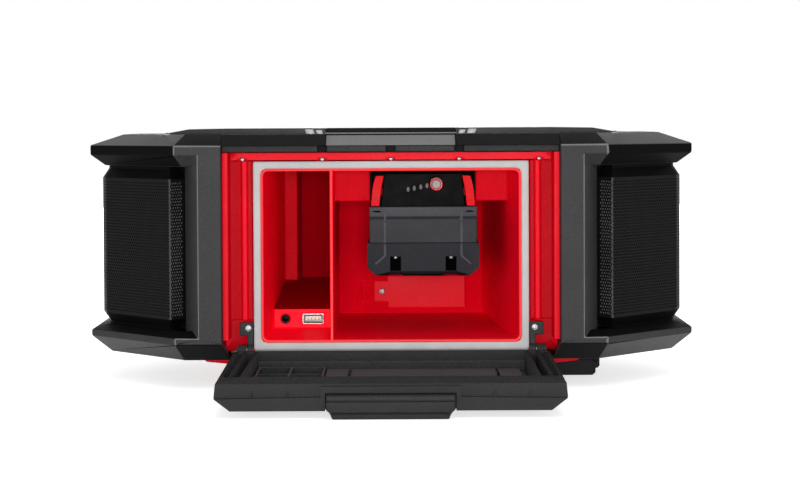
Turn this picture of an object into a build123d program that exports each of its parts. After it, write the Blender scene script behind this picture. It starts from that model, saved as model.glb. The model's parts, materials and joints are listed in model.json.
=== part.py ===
from build123d import *
import math
import os

# A jobsite radio seen from its service side: X runs along its width, Y from the service side
# to the front, Z up from the surface it stands on. All sizes are in millimetres.
# Depths d are measured from the face of the compartment gasket, positive into the body.
# The battery bay and the phone bay set the width, depth and height of everything round them.

# ---- battery pack ----
cell_r = 9.15
cell_length = 65.0
cell_pitch = 19.0
cell_end_room = 1.8         # cells to the case at their ends, behind and above them
cell_rear_room = 10.4
cell_top_room = 0.5
case_split = 22.0           # battery base to the seam between its two halves
case_wall = 2.4
case_step = 1.3             # upper half of the case, drawn in at the sides
case_front_wall = 4.6
case_roof = 6.5
battery_head_height = 22.6
battery_head_length = 78.0
head_side_step = 3.5        # case to the head, at the sides
slot_offset = 18.9          # screw slots beside the battery's middle
slot_half = 3.7
slot_run = 3.6
slot_rise = 13.0
battery_screw_r = 1.1
rail_bite = 3.5             # depth of the grooves that the dock's rails run in
rail_rise = (8.4, 13.2)     # rail groove above the case
blade_offsets = (-21.0, -7.0, 7.0, 21.0)
blade_rise = (14.5, 20.0)
blade_half = 0.45
latch_long = 18.0
latch_travel = 1.5          # battery latch, inwards
gauge_offset = 9.1
gauge_drop = 6.6
gauge_r = 4.0
gauge_travel = 0.8

# ---- compartment ----
phone_bay_width = 44.4
divider_thick = 2.4
battery_left_room = 22.4    # divider to the battery
battery_right_room = 25.8   # battery to the right-hand rim
battery_front_depth = 21.0  # gasket face to the battery
battery_rear_room = 6.0     # battery to the rear wall
battery_head_room = 2.4     # battery to the top of the opening
opening_height = 113.2
bay_wall = 2.5
bay_rim = 1.5               # red rim left inside the gasket
bay_draft = 6.5             # how much the outer walls close in towards the back
right_draft = (6.5, 14.5, 18.8)
shelf_depth = 30.0          # gasket face to the socket shelf
shelf_rise = 4.8            # opening's lower edge to the shelf's face
shelf_height = 13.3
phone_floor_rise = 12.0     # the phone bay's floor climbs by this towards the back
dock_face_depth = 35.0
dock_drop = 3.2             # dock housing's lower face above the battery's case
cover_offsets = (-25.05, 32.4)      # backup cell cover, beside the battery's middle
cover_rise = (7.0, 30.8)
tab_length = 10.15
pocket_length = 19.35
pocket_depth = 1.6
cell_box_depth = 15.1
slim_cell_r = 5.2
slim_cell_length = 44.5
jack_offset = 12.7          # round socket from the bay's left-hand rim
usb_offset = 18.9           # flat socket from the round one
socket_rise = 6.3
jack_r = 3.0
usb_half = 7.25
usb_high = 3.6

# ---- gasket and service panel ----
gasket_width = 5.0
gasket_thick = 3.0
panel_margin = 20.0         # gasket to the inner edge of a guard
panel_depth = 8.0           # gasket face to the panel behind it
header_height = 6.2         # gasket to the panel's upper edge
column_proud = 9.0          # outer red column, out from the gasket face
column_width = 4.0
screw_head_r = 2.2
screw_rise = 2.3            # panel screws above the gasket
bracket_gap = 0.5           # gasket to hinge bracket
bracket_width = 9.2
bracket_height = 9.0
bracket_leg = 4.0
bracket_rise = 9.4          # gasket's lower edge to the bracket's plate
bracket_face = 1.6          # depths of the bracket's two faces
bracket_rear = 4.6
bracket_screw = (3.3, 5.2)  # screw from the plate's inner and lower edges

# ---- guards ----
facet_side = 65.0           # width and depth of the slanted corner
facet_run = 59.0
guard_proud = 15.0          # how far the guards stand out behind the gasket
corner_margin = 4.2         # band to the start of the slanted corner
band_width = 15.6           # flat rear band of a guard
band_slant = 11.2           # its bevel's width
band_depth = 29.0
base_thick = 4.2
sill_rise = 6.1             # guard's base to the gasket
lower_chamfer_rise = 11.6
lower_rim_height = 4.1
rim_drop = 1.7              # panel's upper edge down to the upper rim
upper_rim_height = 6.1
upper_chamfer_rise = 7.7
top_inset = (24.0, 12.0, 13.1)      # chamfer insets at the side, rear and slanted corner
base_inset = (14.0, 11.0, 11.5)
neck_inset = (10.0, 9.0, 9.5)
neck_top_drop = 7.7         # upper rim down to the speaker box
neck_base_rise = 3.4        # lower rim up to the speaker box
skin = 3.0                  # wall of the plastic covers
fit_gap = 0.3               # gap between pieces that move past each other
seat_gap = 0.05             # gap between pieces that are only fitted together

# ---- base and feet ----
foot_height = 13.7
foot_r = 12.0
foot_x = 84.0
foot_edge = 42.0            # gasket face to the rear feet
base_half_width = 128.0
base_corner = (21.0, 14.0)  # slanted corner of the base plate
base_end_depth = 6.0        # gasket face to the base plate's ends
base_rear_half = 104.0      # rear sill that the door's heel meets

# ---- door ----
door_side_room = 6.9        # guard to the side of the door
door_top_gap = 0.6          # closed door to the panel's upper edge
door_thick = 19.2
door_wall = 3.0
door_skin = 3.0
door_edge_chamfer = 9.0
door_end_step = 3.0         # lower part of the free edge stands out by this
hinge_above_rim = 0.8       # hinge axis above the door's inner rim when it lies open
door_seal_gap = 0.3         # closed door to gasket
rim_drop_door = 0.5         # open door's rim below the gasket
knuckle_r = 3.2
knuckle_length = 6.4
hinge_pin_r = 1.6
pin_clearance = 0.05
heel_start = 1.5            # hinge axis to the door's heel
latch_half_width = 38.5
latch_height = 13.8
latch_thick = 6.5
latch_proud = 7.5           # latch's outer face beyond the door's free edge
latch_pin_r = 1.5
floor_clearance = 0.7       # open door's latch above the surface
rung_pitch = 12.5
rail_thick = 1.6

# ---- ends ----
grille_in = (5.6, 9.5)      # grille's side and outer corner, in from the guard's side
grille_back = (3.0, 9.0)    # depths of those two, past and before the slanted corner's end
grille_out = 4.7            # grille's rear corner, out from the slanted corner's start
grille_rear = (0.0, 12.0)   # depths of the rear corner and of the inner edge
grille_edge_gap = 0.7       # guard's band to the grille
grille_base_rise = 7.5      # speaker box's lower face to the grille
grille_top_drop = 8.5
grille_thick = 1.2
grille_stand_off = 4.5      # grille to the speaker box behind it
cap_rise = 6.3              # bevelled cap of the box above and below the grille
box_inner_gap = 6.0         # guard's inner edge to the speaker box
box_wall = 4.0
driver_edge = 4.6           # driver's rim to the ends of its slanted face
driver_shift = 2.8          # driver beyond the middle of its slanted face
frame_lip = 2.5             # driver frame's height on the box
cone_margin = 4.0           # driver's rim to its cone
basket_depth = 22.0
basket_foot_r = 20.0
magnet_r = 22.0
magnet_thick = 12.0

# ---- top ----
lip_depth = -7.0            # rear lip of the top cover
pocket_run = 9.4            # latch pocket behind the bevel, along the depth
keeper_thick_run = 2.7
tray_depth = 8.0            # tray in the top, below its rim
tray_half_width = 152.0
tray_edge = 8.0             # gasket face to the rear edge of the tray
handle_bar_depth = 18.0
handle_arm_width = 10.0
handle_arm_half_height = 4.4
handle_rise = 7.1           # bar's upper face above the arm's centre line
handle_shoulder = (13.0, 0.4)       # rounded ends of the bar
handle_pivot_r = 4.0
grip_half_width = 44.0
mast_r = 4.0
mast_length = 206.0
mast_hinge_x = 104.0
mast_edge = 14.0            # tray's front edge to the antenna
eye_half = 3.4
ear_thick = 3.5

# ---- front ----
fascia_setback = 6.0        # front panel behind the guards' front faces
fascia_thick = 3.0
board_thick = 1.6
board_setback = 8.4         # board to the front panel
board_gap = 1.9             # backup cell box to the board
board_half = 103.0
board_drop = (84.4, 10.4)   # board's edges below the panel's upper edge
knob_r = 19.0
knob_height = 16.0
knob_gap = 0.6              # knob to the panel behind it
knob_x = 78.0
knob_drop = 44.4            # heights below the panel's upper edge
shaft_r = 3.0
window_width = 96.0
window_height = 36.0
window_drop = 32.4
button_width = 20.0
button_height = 9.0
button_travel = 1.0
button_drop = 68.4
button_xs = {
    "power_button": -36.0,
    "preset_button_1": -12.0,
    "preset_button_2": 12.0,
    "preset_button_3": 36.0,
}
rib_count = 5
rib_pitch = 9.0
rib_half = 62.0

# ---- power inlet, supply and heat sink ----
inlet_half_width = 21.0
inlet_x = 122.5
inlet_depth = 40.0
inlet_length = 42.0
inlet_base_z = 0.6
hatch_thick = 1.8
supply_width = 22.0
supply_height = 40.0
supply_length = 44.0
sink_height = 60.0
sink_fins = 9
fin_pitch = 8.0
fin_reach = 15.0

# ================= derived places =================
# the battery, from its ten cells outwards
cells_in_row = 5
battery_width = cell_length + 2 * (case_step + case_wall + cell_end_room)
battery_length = (
    case_front_wall + fit_gap + 2 * cell_r + (cells_in_row - 1) * cell_pitch + cell_rear_room
    + case_wall
)
battery_body_height = (
    case_wall + fit_gap + 2 * cell_r + cell_pitch + cell_top_room + case_roof
)
battery_head_width = battery_width - 2 * head_side_step

# width, from the bays outwards
rim_half_width = (
    phone_bay_width + divider_thick + battery_left_room + battery_width + battery_right_room
) / 2
gasket_half_width = rim_half_width + bay_rim + gasket_width
panel_half_width = gasket_half_width + panel_margin
half_flat = panel_half_width + band_width + band_slant + corner_margin
half_width = half_flat + facet_side
door_half_width = panel_half_width - door_side_room
bay_left = -rim_half_width
bay_right = rim_half_width
divider_left = bay_left + phone_bay_width
divider_right = divider_left + divider_thick
battery_x = divider_right + battery_left_room + battery_width / 2

# depth, from the battery outwards
bay_depth = battery_front_depth + battery_length + battery_rear_room
board_depth = bay_depth + cell_box_depth + board_gap
board_face = board_depth + board_thick
fascia_rear = board_face + board_setback
fascia_face = fascia_rear + fascia_thick
front_depth = fascia_face + fascia_setback
mid_depth = (front_depth - guard_proud) / 2
hinge_depth = hinge_above_rim - door_seal_gap      # hinge axis behind the gasket face

# height, from the feet upwards
base_z = foot_height
guard_base_z = foot_height + base_thick
gasket_base_z = guard_base_z + sill_rise
opening_base_z = gasket_base_z + gasket_width + bay_rim
opening_top_z = opening_base_z + opening_height
gasket_top_z = opening_top_z + bay_rim + gasket_width
panel_top_z = gasket_top_z + header_height
lower_rim_z = guard_base_z + lower_chamfer_rise
lower_rim_top_z = lower_rim_z + lower_rim_height
box_base_z = lower_rim_top_z + neck_base_rise
upper_rim_z = panel_top_z - rim_drop
upper_rim_top_z = upper_rim_z + upper_rim_height
body_top_z = upper_rim_top_z + upper_chamfer_rise
box_top_z = upper_rim_z - neck_top_drop
tray_z = body_top_z - tray_depth
handle_axis_z = tray_z + fit_gap + handle_arm_half_height
door_rim_z = gasket_base_z - rim_drop_door
door_base_z = door_rim_z - door_thick
hinge_z = door_rim_z + hinge_above_rim
door_length = panel_top_z - door_top_gap - hinge_z  # hinge axis to the free edge
head_top_z = opening_top_z - battery_head_room
head_base_z = head_top_z - battery_head_height
battery_base_z = head_base_z - battery_body_height
dock_base_z = head_base_z + dock_drop
shelf_base_z = opening_base_z + shelf_rise
shelf_top_z = shelf_base_z + shelf_height

# the whole outline is centred on the origin
rear_reach = door_length + latch_proud - hinge_depth
front_reach = fascia_face + fit_gap + knob_gap + knob_height
gasket_y = (rear_reach - front_reach) / 2


# ================= helpers =================
def gy(depth):
    """Y of a depth behind the gasket face."""
    return gasket_y + depth


def block(x0, x1, d0, d1, z0, z1):
    """A box between two corners, with its second axis as a depth."""
    size = Box(x1 - x0, d1 - d0, z1 - z0)
    return Pos((x0 + x1) / 2, gy((d0 + d1) / 2), (z0 + z1) / 2) * size


def polygon(points):
    return make_face(Polyline(*points, close=True))


def plan(points, z0, z1):
    """An outline of (x, depth) points raised from z0 to z1."""
    outline = polygon([(x, gy(d)) for x, d in points])
    return Pos(0, 0, z0) * extrude(outline, z1 - z0)


def side(points, x0, x1):
    """An outline of (depth, z) points drawn out from x0 to x1."""
    outline = polygon([(gy(d), z) for d, z in points])
    return extrude(Plane.YZ.offset(x0) * outline, x1 - x0)


def front(points, d0, d1):
    """An outline of (x, z) points drawn out from depth d0 to d1."""
    return extrude(Plane.XZ.offset(-gy(d1)) * polygon(points), d1 - d0)


def rod_x(x0, x1, depth, z, r):
    return Pos((x0 + x1) / 2, gy(depth), z) * Rot(0, 90, 0) * Cylinder(r, x1 - x0)


def rod_y(x, d0, d1, z, r):
    return Pos(x, gy((d0 + d1) / 2), z) * Rot(90, 0, 0) * Cylinder(r, d1 - d0)


def rod_z(x, depth, z0, z1, r):
    return Pos(x, gy(depth), (z0 + z1) / 2) * Cylinder(r, z1 - z0)


def frustum(lower, z0, upper, z1):
    """A solid with flat faces between two outlines of (x, depth) points."""
    low = [Vector(x, gy(d), z0) for x, d in lower]
    high = [Vector(x, gy(d), z1) for x, d in upper]
    faces = [Face(Wire.make_polygon(low)), Face(Wire.make_polygon(high))]
    for i in range(len(low)):
        j = (i + 1) % len(low)
        faces.append(Face(Wire.make_polygon([low[i], low[j], high[j], high[i]])))
    return Solid(Shell(faces))


def mirrored(part):
    return mirror(part, about=Plane.YZ)


def group(parts):
    return Compound(children=[s for part in parts for s in part.solids()])


def save(name, part):
    part.label = name
    export_step(part, f"parts/{name}.step")


# ================= outlines in plan =================
facet_length = math.hypot(facet_side, facet_run)
facet_dir = (facet_side / facet_length, facet_run / facet_length)
facet_in = (-facet_dir[1], facet_dir[0])


def half_outline(inner_x, inset=(0, 0, 0)):
    """The end of the body from inner_x outwards, drawn in by inset at side, rear and corner."""
    side_in, rear_in, corner_in = inset
    rear = -guard_proud + rear_in
    start_x = half_flat + corner_in * facet_in[0]
    start_d = -guard_proud + corner_in * facet_in[1]
    along = (rear - start_d) / facet_dir[1]
    corner = (start_x + along * facet_dir[0], rear)
    along = (half_width - side_in - start_x) / facet_dir[0]
    outer = (half_width - side_in, start_d + along * facet_dir[1])
    rear_half = [(inner_x, rear), corner, outer]
    return rear_half + [(x, 2 * mid_depth - d) for x, d in reversed(rear_half)]


grille_side_x = half_width - grille_in[0]
grille_outer_x = half_width - grille_in[1]
grille_side_depth = facet_run + grille_back[0]
grille_outer_depth = facet_run - grille_back[1]
grille_corner_x = half_flat + grille_out
grille_corner_depth, grille_inner_depth = grille_rear
grille_inner_x = half_flat - corner_margin + grille_edge_gap
box_inner_x = panel_half_width + box_inner_gap


def grille_outline(inset=0.0):
    """The speaker end's outline: three flats at the rear, a side, three flats at the front."""
    flats = [
        (grille_inner_x, grille_inner_depth),
        (grille_corner_x, grille_corner_depth),
        (grille_outer_x, grille_outer_depth),
        (grille_side_x, grille_side_depth),
    ]
    face = polygon(
        [(box_inner_x, gy(grille_inner_depth))]
        + [(x, gy(d)) for x, d in flats]
        + [(x, gy(2 * mid_depth - d)) for x, d in reversed(flats)]
        + [(box_inner_x, gy(2 * mid_depth - grille_inner_depth))]
    )
    if inset:
        face = offset(face, -inset, kind=Kind.INTERSECTION)
    return face


def grille_prism(inset, z0, z1):
    return Pos(0, 0, z0) * extrude(grille_outline(inset), z1 - z0)


# ================= end guards =================
pivot_bore_x = tray_half_width + 2.2 * handle_pivot_r      # blind end of the handle's bore


def make_guard():
    """The right-hand guard: two bevelled flanges joined by hollow bands at rear and front."""
    inner = panel_half_width
    full = half_outline(inner)
    upper = plan(full, upper_rim_z, upper_rim_top_z)
    upper += frustum(full, upper_rim_top_z, half_outline(inner, top_inset), body_top_z)
    upper += frustum(half_outline(inner, neck_inset), box_top_z, full, upper_rim_z)
    lower = plan(full, lower_rim_z, lower_rim_top_z)
    lower += frustum(half_outline(inner, base_inset), guard_base_z, full, lower_rim_z)
    lower += frustum(full, lower_rim_top_z, half_outline(inner, neck_inset), box_base_z)

    cavity_inset = [i + skin for i in top_inset]
    cavity = half_outline(inner + skin, cavity_inset)
    upper -= plan(cavity, box_top_z, tray_z - skin)
    lower -= plan(cavity, guard_base_z + skin, box_base_z)

    rear = -guard_proud
    far = inner + band_width + band_slant
    toe = 4.0
    band = [
        (inner, rear),
        (inner + band_width, rear),
        (far, rear + band_depth - toe),
        (far - toe, rear + band_depth),
        (inner, rear + band_depth),
    ]
    hollow = [
        (inner + skin, rear + skin),
        (inner + band_width - skin / 2, rear + skin),
        (far - skin - 1, rear + band_depth - toe),
        (far - toe - skin, rear + band_depth),
        (inner + skin, rear + band_depth),
    ]
    bands = None
    for flip in (False, True):
        turn = [(x, 2 * mid_depth - d if flip else d) for x, d in band]
        inside = [(x, 2 * mid_depth - d if flip else d) for x, d in hollow]
        one = plan(turn, lower_rim_z, upper_rim_top_z) - plan(inside, box_base_z, box_top_z)
        bands = one if bands is None else bands + one
    guard = upper + lower + bands

    tray = block(
        inner - 1,
        tray_half_width,
        tray_edge,
        2 * mid_depth - tray_edge,
        tray_z,
        body_top_z + 1,
    )
    guard -= tray
    boss = block(
        tray_half_width,
        pivot_bore_x + skin,
        mid_depth - handle_pivot_r - skin,
        mid_depth + handle_pivot_r + skin,
        tray_z - skin,
        body_top_z - 0.5,
    )
    guard += boss
    guard -= rod_x(
        tray_half_width - 1, pivot_bore_x, mid_depth, handle_axis_z,
        handle_pivot_r + pin_clearance,
    )
    tip_z, tip_end, tip_reach = lower_rim_z + 0.7, hinge_depth - 2.0, 4.6
    tip = [
        (inner, tip_z),
        (inner - tip_reach, guard_base_z),
        (inner + 1, guard_base_z),
        (inner + 1, tip_z),
    ]
    chamfer_side = [
        (rear, lower_rim_z),
        (rear + base_inset[1], guard_base_z),
        (tip_end, guard_base_z),
        (tip_end, tip_z),
        (rear, tip_z),
    ]
    chamfered = side(chamfer_side, inner - tip_reach - 1, inner + 1)
    return guard + (front(tip, rear, tip_end) & chamfered)


def make_guards():
    right = make_guard()
    save("end_guard_right", right)
    save("end_guard_left", mirrored(right))


# ================= speaker ends =================
grille_base_z = box_base_z + grille_base_rise
grille_top_z = box_top_z - grille_top_drop
driver_z = (grille_base_z + grille_top_z) / 2
flat_run = (grille_outer_x - grille_corner_x, grille_outer_depth - grille_corner_depth)
flat_length = math.hypot(*flat_run)
flat_out = (flat_run[1] / flat_length, -flat_run[0] / flat_length)
driver_r = flat_length / 2 - driver_edge
cone_r = driver_r - cone_margin
driver_x = (grille_corner_x + grille_outer_x) / 2
driver_x += driver_shift * flat_run[0] / flat_length - grille_stand_off * flat_out[0]
driver_depth = (grille_corner_depth + grille_outer_depth) / 2
driver_depth += driver_shift * flat_run[1] / flat_length - grille_stand_off * flat_out[1]


def driver_plane(at_front):
    """The middle of a slanted box face, looking outwards."""
    depth = 2 * mid_depth - driver_depth if at_front else driver_depth
    way = -flat_out[1] if at_front else flat_out[1]
    return Plane(
        origin=(driver_x, gy(depth), driver_z), x_dir=(0, 0, 1), z_dir=(flat_out[0], way, 0)
    )


def turned(points):
    """A ring or dish from a half section of (radius, height) points."""
    return revolve(Plane.XZ * polygon(points), Axis.Z)


def make_speaker_box():
    box = grille_prism(grille_stand_off, box_base_z, box_top_z)
    inside = grille_prism(
        grille_stand_off + box_wall, box_base_z + box_wall, box_top_z - box_wall
    )
    box -= inside
    for at_front in (False, True):
        hole = Pos(0, 0, -box_wall) * Cylinder(driver_r - 2.5, 3 * box_wall)
        box -= driver_plane(at_front) * hole
    # bevelled caps that run from the grille's edges back to the box
    taper = math.degrees(math.atan((grille_stand_off - fit_gap) / cap_rise))
    cap = extrude(grille_outline(fit_gap), cap_rise, taper=taper)
    upper = Pos(0, 0, grille_top_z + seat_gap) * cap
    lower = Pos(0, 0, grille_base_z - seat_gap) * mirror(cap, about=Plane.XY)
    keep = block(grille_inner_x, half_width, -guard_proud, front_depth, 0, body_top_z)
    return box + (upper & keep) + (lower & keep)


def make_grille():
    """A sheet that wraps round the rear, side and front of the box, with turned-in edges."""
    sheet = grille_prism(0, grille_base_z, grille_top_z)
    sheet -= grille_prism(grille_thick, grille_base_z - 1, grille_top_z + 1)
    turn_in = grille_stand_off - seat_gap
    edge = grille_prism(0, grille_base_z, grille_base_z + grille_thick)
    edge -= grille_prism(turn_in, grille_base_z - 1, grille_base_z + 2 * grille_thick)
    sheet += edge + Pos(0, 0, grille_top_z - grille_base_z - grille_thick) * edge
    keep = block(grille_inner_x, half_width, -guard_proud, front_depth, 0, body_top_z)
    return sheet & keep


ledge = 0.4                 # cone's seat above the box's face
rim_in = 2.8                # driver's rim to the part of it inside the box


def make_driver():
    basket = turned(
        [
            (cone_r + 0.6, frame_lip),
            (driver_r, frame_lip),
            (driver_r, 0),
            (driver_r - rim_in, 0),
            (driver_r - rim_in, -2),
            (basket_foot_r, -basket_depth),
            (0, -basket_depth),
            (0, 2 - basket_depth),
            (basket_foot_r - 1.4, 2 - basket_depth),
            (cone_r - 0.6, -1),
            (cone_r - 0.6, ledge),
            (cone_r + 0.6, ledge),
        ]
    )
    magnet = Pos(0, 0, -basket_depth - magnet_thick / 2) * Cylinder(magnet_r, magnet_thick)
    return group([basket, magnet])


def make_cone():
    return turned(
        [
            (0, -9.5),
            (5, -10.4),
            (8.5, -12.2),
            (cone_r - 3, 1.4),
            (cone_r + 0.3, 1.6),
            (cone_r + 0.3, 0.5),
            (cone_r - 2.8, 0.2),
            (8.8, -13.6),
            (0, -13.6),
        ]
    )


def make_radiator():
    frame = turned(
        [
            (cone_r + 0.6, frame_lip),
            (driver_r, frame_lip),
            (driver_r, 0),
            (driver_r - rim_in, 0),
            (driver_r - rim_in, -box_wall),
            (cone_r - 0.6, -box_wall),
            (cone_r - 0.6, ledge),
            (cone_r + 0.6, ledge),
        ]
    )
    plate = turned(
        [
            (0, 1.4),
            (15, 1.4),
            (15, 0.4),
            (cone_r - 7, 0.4),
            (cone_r - 3, 1.9),
            (cone_r + 0.3, 1.6),
            (cone_r + 0.3, 0.5),
            (cone_r - 3, 0.9),
            (cone_r - 7, -0.6),
            (0, -0.6),
        ]
    )
    return group([frame, plate])


def make_speakers():
    pieces = {
        "speaker_box": make_speaker_box(),
        "speaker_grille": make_grille(),
        "driver_frame": driver_plane(True) * make_driver(),
        "driver_cone": driver_plane(True) * make_cone(),
        "passive_radiator": driver_plane(False) * make_radiator(),
    }
    for name, piece in pieces.items():
        save(f"{name}_right", piece)
        save(f"{name}_left", mirrored(piece))


# ================= top, base and front =================
latch_pocket_half = latch_half_width + 5
cover_half = panel_half_width - seat_gap
bevel_slope = top_inset[1] / upper_chamfer_rise


def make_top_cover():
    rear, top = -guard_proud, body_top_z
    tray_front = 2 * mid_depth - tray_edge
    bevel_rear = rear + top_inset[1]
    bevel_front = front_depth - top_inset[1]
    lip_z = panel_top_z + fit_gap / 3
    section = [
        (rear, upper_rim_top_z),
        (bevel_rear, top),
        (tray_edge, top),
        (tray_edge, tray_z),
        (tray_front, tray_z),
        (tray_front, top),
        (bevel_front, top),
        (front_depth, upper_rim_top_z),
        (fascia_face, upper_rim_top_z),
        (fascia_face, lip_z),
        (fascia_face - 9, lip_z),
        (fascia_face - 9, tray_z - skin),
        (tray_edge, tray_z - skin),
        (tray_edge, lip_z),
        (lip_depth, lip_z),
        (lip_depth, upper_rim_top_z),
    ]
    cover = side(section, -cover_half, cover_half)
    pocket = [
        (rear - 1, upper_rim_top_z),
        (rear + pocket_run, upper_rim_top_z),
        (bevel_rear + pocket_run, top),
        (bevel_rear + pocket_run, top + 1),
        (rear - 1, top + 1),
    ]
    cover -= side(pocket, -latch_pocket_half, latch_pocket_half)
    for x in (-latch_pocket_half - 2, 0, latch_pocket_half + 2):
        cover -= block(x - 3, x + 3, lip_depth - 1, lip_depth + 2, lip_z, upper_rim_top_z)
    return cover


def make_keeper():
    z0 = upper_rim_top_z + seat_gap
    z1 = body_top_z - 0.4
    d0 = -guard_proud + pocket_run - seat_gap + seat_gap * bevel_slope
    d1 = d0 + (z1 - z0) * bevel_slope
    plate = [(d0 - keeper_thick_run, z0), (d0 - 0.1, z0), (d1 - 0.1, z1), (d1 - keeper_thick_run, z1)]
    return side(plate, -latch_pocket_half + 0.4, latch_pocket_half - 0.4)


sill_depth = hinge_depth - heel_start + fit_gap
sill_top_z = gasket_base_z - 1.5
sill_step_z = hinge_z - knuckle_r - 3.3
foot_depths = (foot_edge, 2 * mid_depth - foot_edge)


def make_base():
    far = 2 * mid_depth - base_end_depth
    bevel = 2.0
    sill_half = hinge_zone[0]
    rear_half = [
        (base_rear_half, sill_depth),
        (base_rear_half, base_end_depth),
        (base_half_width - base_corner[0], base_end_depth),
        (base_half_width, base_end_depth + base_corner[1]),
        (base_half_width, far),
    ]
    outline = rear_half + [(-x, d) for x, d in reversed(rear_half)]
    plate = plan(outline, base_z, guard_base_z - seat_gap)
    plate += block(-cover_half, cover_half, far - 1, fascia_face, base_z, guard_base_z - seat_gap)
    plate += block(
        -base_rear_half, base_rear_half, sill_depth, sill_depth + skin, base_z, sill_step_z
    )
    plate += block(-sill_half, sill_half, sill_depth, sill_depth + skin, base_z, sill_top_z)
    for x in (-base_half_width, base_half_width):
        inward = bevel if x < 0 else -bevel
        corner = [(x, base_z), (x + inward, base_z), (x, base_z + bevel)]
        plate -= front(corner, base_end_depth - 1, far + 1)
    return plate


def make_feet():
    feet = []
    for x in (-foot_x, foot_x):
        for depth in foot_depths:
            foot = rod_z(x, depth, 0, base_z, foot_r)
            foot = chamfer(foot.edges().filter_by(GeomType.CIRCLE).group_by(Axis.Z)[0], 1.2)
            feet.append(foot)
    return group(feet)


knob_z = panel_top_z - knob_drop
window_z = panel_top_z - window_drop
button_z = panel_top_z - button_drop
board_z = (panel_top_z - board_drop[0], panel_top_z - board_drop[1])


def make_fascia():
    rear = fascia_rear
    low = guard_base_z + seat_gap
    plate = block(-cover_half, cover_half, rear, fascia_face, low, panel_top_z)
    half = window_width / 2
    z0, z1 = window_z - window_height / 2, window_z + window_height / 2
    bezel = block(-half - 5, half + 5, rear, fascia_face + 2.5, z0 - 5, z1 + 5)
    bezel = chamfer(bezel.edges().filter_by(Axis.Y), 4)
    plate += bezel
    plate -= block(-half, half, rear - 1, fascia_face + 3, z0, z1)
    for i in range(rib_count):
        z = low + 12 + rib_pitch * i
        plate += block(-rib_half, rib_half, fascia_face, fascia_face + 1.8, z, z + 4)
    for x in (-knob_x, knob_x):
        plate += rod_y(x, rear, fascia_face + 0.3, knob_z, knob_r + 2.5)
        plate -= rod_y(x, rear - 1, fascia_face + 1, knob_z, shaft_r + pin_clearance)
    for x in button_xs.values():
        w, h = button_width / 2 + fit_gap, button_height / 2 + fit_gap
        plate -= block(x - w, x + w, rear - 1, fascia_face + 3, button_z - h, button_z + h)
    for x in (5 - board_half, board_half - 5):
        for z in (board_z[0] + 6, board_z[1] - 6):
            plate += rod_y(x, board_face + seat_gap, rear, z, 3)
    return plate


def make_window():
    half, gap = window_width / 2 - 2 * seat_gap, 2 * seat_gap
    z0, z1 = window_z - window_height / 2 + gap, window_z + window_height / 2 - gap
    return block(-half, half, fascia_face - 1.0, fascia_face + 1.0, z0, z1)


def make_display():
    half = window_width / 2 + 3
    z0, z1 = window_z - window_height / 2 - 2, window_z + window_height / 2 + 2
    rear = fascia_rear
    glass = block(-half, half, rear - 2.5, rear - seat_gap, z0, z1)
    posts = []
    for x in (-half + 4, half - 4):
        for z in (z0 + 4, z1 - 4):
            posts.append(rod_y(x, board_face + seat_gap, rear - 2.5 - seat_gap, z, 2))
    return group([glass] + posts)


def make_knob(x):
    start = fascia_face + 0.3 + knob_gap
    knob = rod_y(x, start, start + knob_height, knob_z, knob_r)
    knob = chamfer(knob.edges().filter_by(GeomType.CIRCLE).group_by(Axis.Y)[-1], 1.5)
    flutes = 16
    for i in range(flutes):
        turn = 2 * math.pi * i / flutes
        at_x = x + (knob_r + 0.8) * math.sin(turn)
        at_z = knob_z + (knob_r + 0.8) * math.cos(turn)
        knob -= rod_y(at_x, start + 3, start + knob_height + 1, at_z, 1.9)
    knob += rod_y(x, board_face + control_height + 0.4, start + 1, knob_z, shaft_r)
    return knob


def make_button(x):
    rear = fascia_rear
    w, h = button_width / 2, button_height / 2
    cap = block(x - w, x + w, rear - 1, fascia_face + 2.2, button_z - h, button_z + h)
    cap = chamfer(cap.faces().sort_by(Axis.Y)[-1].edges(), 0.8)
    edge = 1.5
    flange = block(
        x - w - edge, x + w + edge, rear - 1.6, rear - fit_gap, button_z - h - edge,
        button_z + h + edge,
    )
    stem_end = board_face + switch_height + button_travel + fit_gap
    return cap + flange + rod_y(x, stem_end, rear - 1, button_z, 1.5)


switch_height = 2.0
control_height = 4.6
chips = ((-30.0, 16.0, 12.0), (0.0, 24.0, 14.0), (32.0, 16.0, 9.0))     # x, rise, side


def make_board():
    face = board_face
    parts = [block(-board_half, board_half, board_depth, face, *board_z)]
    for x in button_xs.values():
        parts.append(block(x - 3, x + 3, face, face + switch_height, button_z - 3, button_z + 3))
    for x in (-knob_x, knob_x):
        parts.append(block(x - 6, x + 6, face, face + control_height, knob_z - 6, knob_z + 6))
    for x, rise, size in chips:
        z = button_z + rise
        parts.append(block(x - size / 2, x + size / 2, face, face + 1.6, z, z + size))
    return group(parts)


# ================= service panel =================
tub_clear = seat_gap
tub_half = rim_half_width + bay_wall
tub_low = opening_base_z - bay_wall
tub_high = gasket_top_z - 2.0
screw_z = gasket_top_z + screw_rise
screw_xs = (-7 - gasket_half_width, -45.7, 0.0, 45.7, gasket_half_width + 7)
bracket_x = (gasket_half_width + bracket_gap, gasket_half_width + bracket_gap + bracket_width)
bracket_z = (gasket_base_z + bracket_rise, gasket_base_z + bracket_rise + bracket_height)
bracket_screw_x = bracket_x[0] + bracket_screw[0]
bracket_screw_z = bracket_z[0] + bracket_screw[1]
header_step_x = cover_half - 4.65
panel_base_z = sill_top_z + 0.1
land_half = gasket_half_width + bracket_gap - 0.1
pleat_x = land_half + 0.6


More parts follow.
